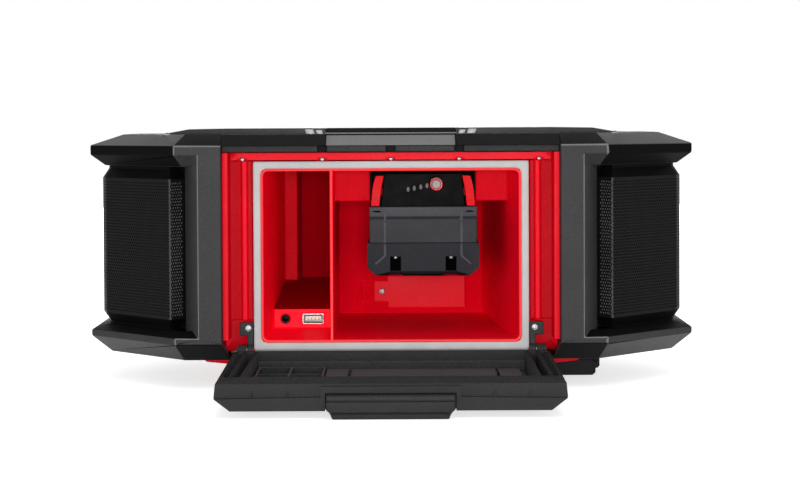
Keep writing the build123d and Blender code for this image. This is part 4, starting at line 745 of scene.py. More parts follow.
def rounded_loop(middle, half_width, half_height, radius, depth, corner=5):
    """A loop of points round a rectangle with rounded corners, facing along the depth."""
    loop = []
    for quarter, (sx, sz) in enumerate(((1, 1), (-1, 1), (-1, -1), (1, -1))):
        for step in range(corner + 1):
            angle = math.pi / 2 * (quarter + step / corner)
            x = middle[0] + sx * (half_width - radius) + radius * math.cos(angle)
            z = middle[1] + sz * (half_height - radius) + radius * math.sin(angle)
            loop.append(at(x, depth, z))
    return loop


def strung(name, loops, closed=True, capped=False):
    """A mesh skinned over loops of equal length: a ring when closed, a plug when capped."""
    size = len(loops[0])
    points = [point for loop in loops for point in loop]
    faces = []
    rows = len(loops)
    for row in range(rows if closed else rows - 1):
        after = (row + 1) % rows
        for step in range(size):
            ahead = (step + 1) % size
            faces.append((row * size + step, row * size + ahead, after * size + ahead, after * size + step))
    if capped:
        faces.append(tuple(reversed(range(size))))
        faces.append(tuple((rows - 1) * size + step for step in range(size)))
    mesh = from_points(name, points, faces)
    turn_outwards(mesh)
    mesh.polygons.foreach_set("use_smooth", [True] * len(mesh.polygons))
    return mesh


def turn_outwards(mesh):
    """Makes every face of a closed mesh look outwards."""
    work = bmesh.new()
    work.from_mesh(mesh)
    bmesh.ops.recalc_face_normals(work, faces=work.faces)
    work.to_mesh(mesh)
    work.free()


def prism(name, outline, near, far):
    """An outline of (x, z) points in millimetres, from one depth to another."""
    count = len(outline)
    points = [at(x, near, z) for x, z in outline] + [at(x, far, z) for x, z in outline]
    faces = [tuple(range(count)), tuple(reversed(range(count, 2 * count)))]
    faces += [(i, (i + 1) % count, count + (i + 1) % count, count + i) for i in range(count)]
    mesh = from_points(name, points, faces)
    turn_outwards(mesh)
    return mesh


def ridge(name, start, end, half_width, proud):
    """A narrow raised crease between two (x, depth, z) places, square at its ends."""
    first, last = at(*start), at(*end)
    across = (last - first).normalized().cross(Vector((0, -1, 0))) * half_width * MM
    out, back = Vector((0, -proud * MM, 0)), Vector((0, 0.5 * MM, 0))
    points = [spot + shift for spot in (first, last) for shift in (across, out, -across, back)]
    sides = [(0, 1, 5, 4), (1, 2, 6, 5), (2, 3, 7, 6), (3, 0, 4, 7)]
    mesh = from_points(name, points, sides + [(3, 2, 1, 0), (4, 5, 6, 7)])
    turn_outwards(mesh)
    return mesh


def screw(name, place, radius, shank, length_mm, axis=(0, -1, 0)):
    """A pan-head screw with a cross recess: head, rim and shank."""
    rings = 9
    reach, half_slot, slot_depth = 0.62, 0.15, 0.42
    profile = [(0.04 * radius, 0.62 * radius * 0.9)]
    for ring in range(1, rings + 1):
        crown = 0.36 + 0.2 * math.cos(math.pi / 2 * ring / rings)
        profile.append((radius * 0.92 * ring / rings, radius * crown))
    profile += [(radius, radius * 0.22), (radius, 0), (shank, 0), (shank, -length_mm)]
    profile.append((shank * 0.4, -length_mm - shank))
    mesh = turned(name, profile, Vector((0, 0, 0)), (0, 0, 1), 48)
    for vertex in mesh.vertices:
        x, y, z = vertex.co.x / MM / radius, vertex.co.y / MM / radius, vertex.co.z
        if z > 0.2 * radius * MM and math.hypot(x, y) < reach and min(abs(x), abs(y)) < half_slot:
            vertex.co.z -= slot_depth * radius * MM
    spin = Vector((0, 0, 1)).rotation_difference(Vector(axis)).to_matrix()
    for vertex in mesh.vertices:
        vertex.co = spin @ vertex.co + place
    return mesh


def block(name, low, high):
    """A box in millimetres as a mesh; its edges are rounded afterwards."""
    across, depths, heights = zip(low, high)
    corners = [at(x, depth, z) for x in across for depth in depths for z in heights]
    faces = [(0, 1, 3, 2), (4, 6, 7, 5), (0, 4, 5, 1), (2, 3, 7, 6), (0, 2, 6, 4), (1, 5, 7, 3)]
    return from_points(name, corners, faces)


# ---------------------------------------------------------------- pieces


class RADIO_OT_stage(bpy.types.Operator):
    """Sets the camera, the pale floor, the background and the soft lights"""
    bl_idname = "radio.stage"
    bl_label = "Studio"

    def execute(self, context):
        scene, studio = context.scene, context.scene.radio_studio
        data = bpy.data.cameras.new("camera")
        data.sensor_width = 36
        data.lens = studio.focal
        data.shift_y = studio.rise
        data.clip_start, data.clip_end = 0.05, 50
        camera = bpy.data.objects.new("camera", data)
        camera.location, camera.rotation_euler = studio.place, studio.turn
        scene.collection.objects.link(camera)
        scene.camera = camera

        self.floor(scene, tuple(studio.floor))
        aim = (0, 0, 0.08)
        for name, share, size, place in (
            ("front_light", 0.95, 0.5, (0.02, -2.35, 0.17)),
            ("left_light", 0.3, 1.2, (-1, -2, 0.27)),
            ("right_light", 0.3, 1.2, (1, -2, 0.27)),
        ):
            self.lamp(name, studio.key * share, size, place, aim)
        self.lamp("top_light", studio.top, 1.9, (0.3, -0.35, 2.2), (0, 0, 0.1))
        self.lamp("back_light", studio.back, 1.6, (0, 2.4, 0.45), aim)
        self.world(scene, studio.ambient)
        scene.view_settings.view_transform = "Standard"
        return {"FINISHED"}

    def floor(self, scene, pale):
        """A round floor, wide enough to fill the picture behind the radio."""
        radius, ring = 7, 96
        turns = [2 * math.pi * i / ring for i in range(ring)]
        points = [(0, 0, 0)] + [(radius * math.cos(turn), radius * math.sin(turn), 0) for turn in turns]
        faces = [(0, i + 1, (i + 1) % ring + 1) for i in range(ring)]
        floor = bpy.data.objects.new("floor", from_points("floor", points, faces))
        scene.collection.objects.link(floor)
        floor.data.materials.append(self.floor_material(pale))

    def lamp(self, name, power, size, place, target):
        """A round soft light that looks at its target."""
        data = bpy.data.lights.new(name, "AREA")
        data.energy, data.size, data.shape = power, size, "DISK"
        made = bpy.data.objects.new(name, data)
        made.location = place
        made.rotation_euler = (Vector(target) - Vector(place)).to_track_quat("-Z", "Y").to_euler()
        bpy.context.scene.collection.objects.link(made)

    def seen(self, tree):
        """1 for rays straight from the camera, off gloss or through glass."""
        path = tree.nodes.new("ShaderNodeLightPath")
        total = path.outputs["Is Camera Ray"]
        for name in ("Is Glossy Ray", "Is Transmission Ray"):
            most = tree.nodes.new("ShaderNodeMath")
            most.operation = "MAXIMUM"
            tree.links.new(total, most.inputs[0])
            tree.links.new(path.outputs[name], most.inputs[1])
            total = most.outputs[0]
        return total

    def floor_material(self, pale):
        """Pale paint that shows paler to the camera than it lights the radio."""
        recipe = Recipe("studio_floor", roughness=0.7, specular=0.1)
        cloud = recipe.noise(0.5, 2.0)
        tree, out = recipe.tree, recipe.tree.nodes["Material Output"]
        paint = recipe.mix(cloud, tone(pale, 0.99), pale)
        material = recipe.done(paint, recipe.spread(cloud, 0.3, 0.7, 0.65, 0.75))
        glow = tree.nodes.new("ShaderNodeEmission")
        lift = recipe.maths("MULTIPLY", self.seen(tree), 0.66)
        tree.links.new(lift, glow.inputs["Strength"])
        both = tree.nodes.new("ShaderNodeAddShader")
        tree.links.new(recipe.shader.outputs[0], both.inputs[0])
        tree.links.new(glow.outputs[0], both.inputs[1])
        tree.links.new(both.outputs[0], out.inputs["Surface"])
        return material

    def world(self, scene, ambient):
        """White behind the radio, with a dimmer even light on it."""
        world = bpy.data.worlds.new("studio")
        world.use_nodes = True
        scene.world = world
        tree = world.node_tree
        ground = tree.nodes["Background"]
        ground.inputs["Color"].default_value = (1, 1, 1, 1)
        level = tree.nodes.new("ShaderNodeMapRange")
        tree.links.new(self.seen(tree), level.inputs["Value"])
        level.inputs["To Min"].default_value = ambient
        level.inputs["To Max"].default_value = 1.0
        tree.links.new(level.outputs["Result"], ground.inputs["Strength"])


class RADIO_OT_guards(bpy.types.Operator):
    """Dresses the bevelled end guards"""
    bl_idname = "radio.guards"
    bl_label = "End guards"

    finishes_used = ["guard_plastic", "guard_side", "guard_facet", "guard_dark", "guard_top", "guard_edge"]
    # Finish indices: the guard plastic, its copies with painted light and painted shade, and the painted
    # edge highlight.
    plain, side, facet, dark, top, edge = range(6)
    # Depths of the guard's two faces, x of its band's edges, and heights between which its window opens
    front, rear = -15, 175
    band_inner, band_outer = 127.6, 143
    window_low, window_high = 33.6, 160.8
    # Heights of the flanges that close the window below and above
    lower_flange, upper_flange = 34, 154

    def execute(self, context):
        radius = context.scene.radio_sizes.edge_radius / MM
        # The rounded edges that frame the windows take the painted highlight.
        bright = (self.bright_line, 0.55, 3, self.edge)
        for side in ("left", "right"):
            dress("end_guard_" + side, radius, *SOFT, self.finishes_used, self.face_finish, bright)
        return {"FINISHED"}

    def face_finish(self, middle, normal):
        """Painted shade above, below and behind the grilles, painted light on the slanted facets and sides.
        """
        x, z = abs(middle[0]), middle[2]
        out, up, level = abs(normal.x), normal.z, abs(normal.y)
        if up > 0.8 and z > 158:
            return self.facet if out > 0.2 else self.top
        under_flange = out > 0.2 and 147 < z < 155 and up < -0.5
        behind_rim = 0.5 < out < 0.95 and 155 < z < 161 and abs(up) < 0.1
        on_ledge = up > 0.8 and 33 < z < 38
        if under_flange or behind_rim or on_ledge:
            return self.dark
        if up < -0.5 and z < 30:
            return self.facet if out > 0.3 else self.top
        if out > 0.85 and level > 0.3 and x > 127:
            return self.side
        return self.plain

    def bright_line(self, first, second):
        """Whether an edge frames the grille's window on the front or rear face, and so takes the painted
        highlight.
        """
        x, z = (abs(first[0]), abs(second[0])), (first[2], second[2])
        depths = (first[1], second[1])
        if not self.all_at(depths, self.front) and not self.all_at(depths, self.rear):
            return False
        if self.all_at(x, self.band_inner):
            return True
        low, high = self.window_low, self.window_high
        framed = all(abs(value - low) < 0.15 or abs(value - high) < 0.1 for value in z)
        if framed and abs(z[0] - z[1]) < 0.1:
            return min(x) > 111.5
        in_flange = max(z) < self.lower_flange or min(z) > self.upper_flange
        return self.all_at(x, self.band_outer) and in_flange

    def all_at(self, values, place):
        """Whether all values lie within a tenth of a millimetre of a place."""
        return all(abs(value - place) < 0.1 for value in values)


class RADIO_OT_grilles(bpy.types.Operator):
    """Builds the perforated grilles that fold round the ends"""
    bl_idname = "radio.grilles"
    bl_label = "Speaker grilles"

    finishes_used = ["grille_metal", "grille_bright", "grille_fold"]
    # Finish indices: the plain sheet, painted light on the hems' hole walls, and a painted highlight along
    # the folds.
    face, bright, fold = range(3)
    thickness = 0.9
    margin = 1.8
    fold_radius = 1.6
    # Width of the painted highlight on each side of a fold.
    fold_band = 0.62
    # Rows of a staggered pattern lie closer together than its columns
    stagger = 0.866
    # The sheet's outer line in plan, as (x, depth), from its front hem to its rear one
    outline = (
        (139.5, 12.0), (147.7, 0.0), (198.5, 50.0), (202.4, 62.0),
        (202.4, 98.0), (198.5, 110.0), (147.7, 160.0), (139.5, 148.0),
    )

    def execute(self, context):
        sizes = context.scene.radio_sizes
        for side, sign in (("left", -1), ("right", 1)):
            node = "speaker_grille_" + side
            mesh = self.perforated(node, sign, sizes.hole_pitch / MM, sizes.hole_size / MM)
            link("grille_" + side, mesh, "housing", "grille_metal", node, materials=self.finishes_used)
        return {"FINISHED"}

    def perforated(self, node, sign, pitch, hole):
        """The folded sheet with a staggered pattern of holes, laid out along its line and its height."""
        low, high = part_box(node)
        z_low, z_high = low.z / MM, high.z / MM
        line = [Vector(p) for p in self.outline]
        runs = [(b - a).length for a, b in zip(line, line[1:])]
        total = sum(runs)
        thick, margin = self.thickness, self.margin
        columns = round((total - 2 * margin) / pitch)
        step = (total - 2 * margin) / columns
        rows = round((z_high - z_low - 2 * margin) / (pitch * self.stagger))
        rise = (z_high - z_low - 2 * margin) / rows

        def place(s, z, inner):
            """Where a point s along the sheet and z high lies, on its outer or inner face."""
            s = min(max(s, 0), total)
            for index, run in enumerate(runs):
                if s <= run or index == len(runs) - 1:
                    break
                s -= run
            a, b = line[index], line[index + 1]
            along = (b - a) / runs[index]
            out = Vector((along.y, -along.x))
            spot = a + along * s
            bend = self.bend(line, runs, index, s, self.fold_radius)
            spot -= (out * (thick if inner else 0)) + bend
            return at(sign * spot.x, spot.y, z)

        points, faces, tint, found = [], [], [], {}
        folds = (runs[0], total - runs[0])

        def vertex(s, z, inner):
            """The index of a point, shared by all faces that meet there."""
            key = (round(s, 3), round(z, 3), inner)
            if key not in found:
                found[key] = len(points)
                points.append(place(s, z, inner))
            return found[key]

        def both(ring):
            """A face on the sheet's outer side and its twin on the inner side."""
            # Faces near a fold take the painted highlight.
            near_fold = any(abs(s - fold) < self.fold_band for s, z in ring[:2] for fold in folds)
            for inner in (False, True):
                ids = [vertex(s, z, inner) for s, z in ring]
                faces.append(ids if inner == (sign > 0) else ids[::-1])
                tint.append(self.fold if near_fold else self.face)

        def wall(ring):
            """The cut edge between the two sides, round a hole or the whole sheet."""
            for first, second in zip(ring, ring[1:] + ring[:1]):
                corners = ((first, False), (second, False), (second, True), (first, True))
                ids = [vertex(*spot, inner) for spot, inner in corners]
                faces.append(ids if sign > 0 else ids[::-1])
                # Hole walls and cut edges along the hems take the painted light.
                on_hem = first[0] < runs[0] + 0.4 or first[0] > total - runs[0] - 0.4
                tint.append(self.bright if on_hem else self.face)

        angles = [math.radians(a) for a in (-150, -90, -30, 30, 90, 150)]
        for row in range(rows):
            bottom, top = z_low + margin + row * rise, z_low + margin + (row + 1) * rise
            shift = step / 2 if row % 2 else 0
            for column in range(columns + (row % 2)):
                left = margin + column * step - shift
                half_cell = None
                if left < margin - 0.01:
                    half_cell = (margin, margin + step / 2)
                elif left + step > total - margin + 0.01:
                    half_cell = (left, left + step / 2)
                if half_cell:
                    start, end = half_cell
                    both([(start, bottom), (end, bottom), (end, top), (start, top)])
                    continue
                middle, height = left + step / 2, (bottom + top) / 2
                cell = [(s, bottom) for s in (left, middle, left + step)]
                cell += [(s, top) for s in (left + step, middle, left)]
                ring = [(middle + hole / 2 * math.cos(a), height + hole / 2 * math.sin(a)) for a in angles]
                for index in range(6):
                    after = (index + 1) % 6
                    both([cell[index], cell[after], ring[after], ring[index]])
                wall(ring)
        across = [margin + i * step / 2 for i in range(2 * columns + 1)]
        upward = [z_low + margin + i * rise for i in range(rows + 1)]
        for z_edge, z_in, flip in ((z_low, z_low + margin, False), (z_high, z_high - margin, True)):
            for first, second in zip(across, across[1:]):
                piece = [(first, z_edge), (second, z_edge), (second, z_in), (first, z_in)]
                both(piece[::-1] if flip else piece)
        for s_edge, s_in, flip in ((0, margin, True), (total, total - margin, False)):
            for first, second in zip(upward, upward[1:]):
                piece = [(s_in, first), (s_edge, first), (s_edge, second), (s_in, second)]
                both(piece[::-1] if flip else piece)
            for z_edge, z_in, low_end in ((z_low, z_low + margin, True), (z_high, z_high - margin, False)):
                piece = [(s_in, z_edge), (s_edge, z_edge), (s_edge, z_in), (s_in, z_in)]
                both(piece[::-1] if flip == low_end else piece)
        rim = [(s, z_low) for s in [0, *across, total]] + [(total, z) for z in [*upward, z_high]]
        rim += [(s, z_high) for s in [*across[::-1], 0]] + [(0, z) for z in upward[::-1]]
        wall(rim[::-1])
        mesh = from_points(node + "_sheet", points, faces)
        turn_outwards(mesh)
        if len(mesh.polygons) == len(tint):
            mesh.polygons.foreach_set("material_index", tint)
        return mesh

    def bend(self, line, runs, index, s, radius):
        """How far a point near a fold is drawn in, so that the sheet turns on a radius."""
        pull = Vector((0, 0))
        for corner, gap in ((index, s), (index + 1, runs[index] - s)):
            if 0 < corner < len(line) - 1 and gap < radius:
                before = (line[corner] - line[corner - 1]).normalized()
                after = (line[corner + 1] - line[corner]).normalized()
                inward = after - before
                turn = inward.length
                if turn > 0.01:
                    pull -= inward / turn * (radius - gap) ** 2 / radius * turn * 0.25
        return pull


class RADIO_OT_body(bpy.types.Operator):
    """Dresses the red case and its bay, the top cover, the latch keeper and the base"""
    bl_idname = "radio.body"
    bl_label = "Case and bay"

    bay_finishes = ["bay_red", "bay_shade", "bay_deep", "bay_rim", "bay_back"]
    red, shaded, deep, rim, back = range(5)
    panel_finishes = ["red_plastic", "red_groove"]
    flat, groove = range(2)
    top_finishes = ["guard_top", "lip_plastic", "guard_plastic"]
    # Finish indices: the cover's painted shade, the lips' painted light, and the tray's plain plastic.
    cover, lip_face, tray = range(3)

    def execute(self, context):
        dress("rear_panel", 0.6, finishes_used=self.panel_finishes, chooser=self.panel_finish)
        dress("compartment_tub", 0.9, *SOFT, self.bay_finishes, self.bay_finish)
        dress("base_cover", 0.8)
        dress("top_cover", 0.6, finishes_used=self.top_finishes, chooser=self.top_finish)
        dress("latch_keeper", 0.5, 3)
        self.keeper_edges()
        # The cell cover takes a darker copy of the bay's red as painted shade.
        dress("cell_cover", 0.35, finishes_used=["bay_cover"])
        dress("hinge_brackets", 0.6)
        dress("front_panel", 0.8, finishes_used=["guard_plastic"])
        for side in ("left", "right"):
            dress("speaker_box_" + side, 0.8, held=True)
        self.gasket()
        self.lip()
        return {"FINISHED"}

    def keeper_edges(self):
        """Dark seal, and a pale strip that is a painted highlight, under and behind the latch keeper."""
        seal = block("seal", (-43.6, 2.2, 167.3), (43.6, 5.5, 168.35))
        round_edges(link("keeper_seal", seal, "housing", "dock_black"), 0.2)
        # Painted highlight: a pale strip where the top cover's rounded edge catches the light.
        trim = block("trim", (-43.9, 4.6, 168.35), (43.9, 7.0, 169.2))
        round_edges(link("keeper_highlight_strip", trim, "housing", "seal_trim"), 0.25)

    def bay_finish(self, middle, normal):
        """Painted shade far back in the phone's bay, on the block's front face and on the bay's rear wall,
        and a painted highlight on the divider's front edge.
        """
        x, depth, z = middle
        faces_out = normal.y < -0.9
        if x < -41 and depth > 34 and z > 47:
            if normal.y < -0.8:
                return self.shaded if depth < 135 else self.deep
            if normal.z > 0.8 or -71 < x < -66:
                return self.deep
        # Painted highlight on the divider's front edge.
        if faces_out and depth < 1 and -42 < x < -38.5:
            return self.rim
        if faces_out and 34 < depth < 36 and z > 121:
            return self.shaded
        if faces_out and x > -41 and depth > 100:
            return self.back
        return self.red

    def panel_finish(self, middle, normal):
        """Painted shade: a darker red at the bottom of the grooves beside the bay."""
        in_groove = normal.y < -0.9 and middle[1] > 4.9 and abs(middle[0]) < 110
        return self.groove if in_groove else self.flat

    def top_finish(self, middle, normal):
        """Painted shade on the cover, paler on the tray's floor, and painted light on the lips over the
        case.
        """
        depth, z = middle[1:]
        if normal.z > 0.9 and z < 166:
            return self.tray
        on_lip = abs(normal.y) > 0.9 and z < 161 and not 9 < depth < 151
        return self.lip_face if on_lip and not -6 < depth < -4 else self.cover

    def gasket(self):
        """Rubber seal with a crowned face and rounded inner corners."""
        section = (
            (92, 1.6, 3.0), (92, 1.6, 0.9), (91.7, 1.8, 0.35), (91.0, 2.2, 0.1), (89.6, 3.0, 0.02),
            (88.2, 3.8, 0.1), (87.5, 4.2, 0.35), (87.1, 4.4, 0.9), (87.0, 4.5, 3.0),
        )
        ring = self.round_opening("gasket_ring", section)
        link("gasket_ring", ring, "housing", "gasket_rubber", "compartment_gasket")
        foot = block("foot", (-91.4, 0.6, 23.15), (91.4, 3.2, 24.1))
        round_edges(link("gasket_foot", foot, "housing", "seal_trim"), 0.2)
        wire = block("wire", (-89, -0.4, 22.5), (89, 1.4, 23.15))
        round_edges(link("sill_trim", wire, "housing", "gasket_rubber"), 0.2)

    def lip(self):
        """Red rim of the bay inside the seal, whose rounded corners run out into the walls; its lighter,
        pinker red is a painted highlight.
        """
        section = (
            (87.2, 4.4, 3.0), (87.1, 4.4, 0.9), (86.7, 4.2, 0.4), (86.2, 3.9, 0.3), (85.7, 3.6, 0.5),
            (85.35, 3.4, 1.1), (85.3, 3.3, 2.5), (85.4, 2.6, 5.0), (86.4, 2.6, 5.0),
        )
        link("bay_lip", self.round_opening("bay_lip", section), "housing", "bay_rim")

    def round_opening(self, name, section):
        """A ring round the bay's opening, whose section holds (half width, corner radius, depth)."""
        loops = []
        for half, radius, depth in section:
            loops.append(rounded_loop(OPENING_MIDDLE, half, half - OPENING_SHORTER, radius, depth, 6))
        return strung(name, loops)


class RADIO_OT_screws(bpy.types.Operator):
    """Fits the case screws in their hoods and recesses"""
    bl_idname = "radio.screws"
    bl_label = "Case screws"

    def execute(self, context):
        heads = [screw("panel_screw", at(x, 0.95, 151.8), 1.25, 0.9, 12) for x in CASE_SCREWS_X]
        heads += [screw("bracket_screw", at(x, 1.35, 38.6), 2.15, 1.3, 12) for x in (-95.8, 95.8)]
        heads.append(screw("cover_screw", at(-7.8, 138.4, 49.8), 2.2, 1.2, 5))
        fitted = join_meshes("case_screws_fitted", heads)
        link("case_screws_fitted", fitted, "housing", "bright_screw", "case_screws")
        hoods, shadow_strips = [], []
        for x in CASE_SCREWS_X:
            arch = [(x + 3.3, 152.2), (x + 3.3, 155.9), (x - 3.3, 155.9), (x - 3.3, 152.2)]
            arch += [(x - 2.2, 151.9), (x - 1.6, 152.6), (x + 1.6, 152.6), (x + 2.2, 151.9)]
            hoods.append(prism("hood", arch, -0.06, 1.2))
            # Painted shadow: a thin black strip under each hood, where it shades the screw.
            shadow_outline = [(x - 1.5, 152.2), (x + 1.5, 152.2), (x + 1.5, 152.65), (x - 1.5, 152.65)]
            shadow_strips.append(prism("gap", shadow_outline, -0.1, 1.1))
        round_edges(link("screw_hoods", join_meshes("screw_hoods", hoods), "housing", "red_plastic"), 0.08)
        link("hood_shadow_strips", join_meshes("hood_shadow_strips", shadow_strips), "housing", "slot_black")
        return {"FINISHED"}


def same(x):
    """The battery's left half, as it is."""
    return x


def mirrored(x):
    """The battery's right half, mirrored about its middle."""
    return 43.4 - x


class RADIO_OT_battery(bpy.types.Operator):
    """Dresses the battery pack with its latches and charge gauge"""
    bl_idname = "radio.battery"
    bl_label = "Battery"

    base_finishes = ["battery_grey", "slot_black", "battery_low"]
    # Finish indices: the case's grey, painted shade in the slots, and painted shade on the lower edge.
    grey, black, low = range(3)
    cover_finishes = ["battery_grey", "battery_top"]
    top = 1
    slots_x = (2.8, 40.6)

    def execute(self, context):
        dress(
            "battery_case_base", 0.8, *SOFT, self.base_finishes, self.slot_finish,
            lines=(self.lower_edge, 3.0, 4, self.low), mould=self.swept, held=True,
        )
        dress("battery_case_cover", 0.7, *SOFT, self.cover_finishes, self.cover_finish)
        dress("battery_head", 0.6)
        dress("dock_rails", 0.3, finishes_used=["dock_black"])
        dress("battery_screws", 0.1, finishes_used=["slot_screw"], mould=self.sunk)
        keep("battery_cells", "dock_contacts")
        self.latches()
        self.gauge()
        self.lights()
        self.notch_shadows()
        self.creases()
        return {"FINISHED"}

    def slot_finish(self, middle, normal):
        """Painted shade: black inside the two screw slots of the front."""
        x, depth, z = middle
        in_slot = min(abs(x - slot) for slot in self.slots_x) < 3.8 and 71.8 < z < 85 and depth > 21.1
        on_wall = depth < 27 and abs(normal.z) < 0.9
        return self.black if in_slot and (on_wall or normal.z < -0.9) else self.grey

    def cover_finish(self, middle, normal):
        """Paler above the cover's upper step."""
        return self.top if middle[2] > 108.5 else self.grey

    def sunk(self, x, depth, z):
        """Sets the screws a little deeper in their slots."""
        return (x, depth + 1.0, z)

    def lower_edge(self, first, second):
        """Whether an edge runs along the bottom of the case's front, whose rounding takes the painted shade.
        """
        return all(z < 72.2 and depth < 25.5 for x, depth, z in (first, second))

    def swept(self, x, depth, z):
        """Draws the case's lower front edge back, so that its face turns under."""
        return (x, depth + 3.4 * (93.7 - z) / 22 if depth < 21.5 else depth, z)

    def creases(self):
        """Fine ridges that run down each side of the case and out to its lower corners, painted much lighter
        as highlights.
        """
        line = -4.3
        runs = (
            ((-9.4, 21.05, 117.4), (line, 21.05, 114.2), 0.6, 0.3),
            ((line, 21.05, 114.2), (line, 21.05, 109.0), 0.7, 0.3),
            ((line, 21.05, 107.9), (line, 21.05, 94.2), 0.8, 0.35),
            ((line, 21.15, 93.2), (line, 22.3, 85.2), 0.8, 0.35),
            ((line, 22.3, 85.2), (-10.8, 23.15, 79.4), 0.7, 0.35),
        )
        creases = []
        for turn in (same, mirrored):
            for start, end, half_width, proud in runs:
                ends = [(turn(x), depth, z) for x, depth, z in (start, end)]
                creases.append(ridge("crease", *ends, half_width, proud))
        link("case_creases", join_meshes("case_creases", creases), "battery", "battery_edge")

    def latches(self):
        """A curved red pad on each side, its cheek and foot, and the hook behind it."""
        outer = [(-13.3, 119.2), (-13.3, 122.5), (-13.1, 126), (-12.7, 130)]
        outer += [(-12.0, 134), (-11.1, 137.3), (-10.1, 139.6)]
        inner = [(-8.0, 139.6), (-8.2, 136.5), (-8.4, 133), (-8.6, 129), (-8.7, 125), (-8.9, 119.2)]
        face = [(-4.9, 139.8), (-5.6, 136.5), (-6.3, 133), (-7.0, 129), (-7.4, 125), (-7.9, 119.3)]
        flange = [(-13.5, 119.2), (-13.5, 123.4), (-7.8, 123.4), (-8.0, 119.2)]
        for side, turn in (("left", same), ("right", mirrored)):
            node = "battery_latch_" + side
            pad = prism("pad", [(turn(x), z) for x, z in outer + inner], 21.1, 39)
            cheek = prism("cheek", [(turn(x), z) for x, z in outer + face], 20.1, 20.85)
            foot = prism("foot", [(turn(x), z) for x, z in flange], 19.7, 20.6)
            reach = sorted((turn(-9.0), turn(-1.1)))
            hook = block("hook", (reach[0], 34.5, 125.7), (reach[1], 38.8, 130.7))
            latch = join_meshes(node, [pad, cheek, foot, hook])
            round_edges(link(node + "_pad", latch, BODY_OF[node], "latch_red", node), 0.25)

    def gauge(self):
        """The charge gauge's button and the ring round it."""
        spot, outwards, around = at(30.8, 20.9, 133.7), (0, -1, 0), 40
        dished = [(0.05, 0.55), (1.0, 0.55), (1.15, 0.3), (2.0, 0.3), (2.2, 0.75), (2.6, 0.7), (2.9, 0.1)]
        collar = [(2.9, -3), (4.6, -3), (4.6, -4), (0.05, -4)]
        cap = turned("gauge_cap", dished + collar, spot, outwards, around)
        link("gauge_cap", cap, "gauge", "gauge_light", "gauge_button", slot="gauge_red")
        section = [(3.1, 0.1), (3.3, 0.4), (3.9, 0.4), (4.3, 0.1), (4.3, -0.6), (3.1, -0.6)]
        ring = turned("gauge_ring", section, spot, outwards, around)
        hollow(ring, around)
        link("gauge_ring", ring, "battery", "gauge_red")

    def lights(self):
        """Four charge lights that climb towards the button."""
        lights = []
        for x, z in ((11.6, 130.4), (15.8, 131.1), (20.2, 132.0), (24.4, 132.8)):
            lights.append(prism("light", oval(x, z, 1.05, 1.75, 10), 20.7, 21.5))
        row = join_meshes("charge_lights", lights)
        round_edges(link("charge_lights", row, "battery", "charge_light"), 0.15)

    def notch_shadows(self):
        """A shallow notch near each upper corner of the case, painted black as its shade."""
        notch_shadows = []
        for turn in (same, mirrored):
            notch_shadows.append(prism("notch_shadow", oval(turn(-9.2), 115.4, 3.8, 0.55, 12), 20.93, 21.6))
        link("case_notch_shadows", join_meshes("case_notch_shadows", notch_shadows), "battery", "slot_black")


def oval(x, z, half_width, half_height, steps):
    """Points round an oval, as (x, z), with the given steps in half a turn."""
    turns = [math.pi * step / steps for step in range(2 * steps)]
    return [(x + half_width * math.cos(turn), z + half_height * math.sin(turn)) for turn in turns]


def hollow(mesh, segments):
    """Opens a turned ring: its two end caps go and its first and last rows join."""
    work = bmesh.new()
    work.from_mesh(mesh)
    caps = [face for face in work.faces if len(face.verts) == segments]
    bmesh.ops.delete(work, geom=caps, context="FACES_ONLY")
    work.verts.ensure_lookup_table()
    last = len(work.verts) - segments
    for step in range(segments):
        after = (step + 1) % segments
        corners = (last + step, last + after, after, step)
        work.faces.new([work.verts[corner] for corner in corners])
    bmesh.ops.recalc_face_normals(work, faces=work.faces)
    work.to_mesh(mesh)
    work.free()
    mesh.polygons.foreach_set("use_smooth", [True] * len(mesh.polygons))


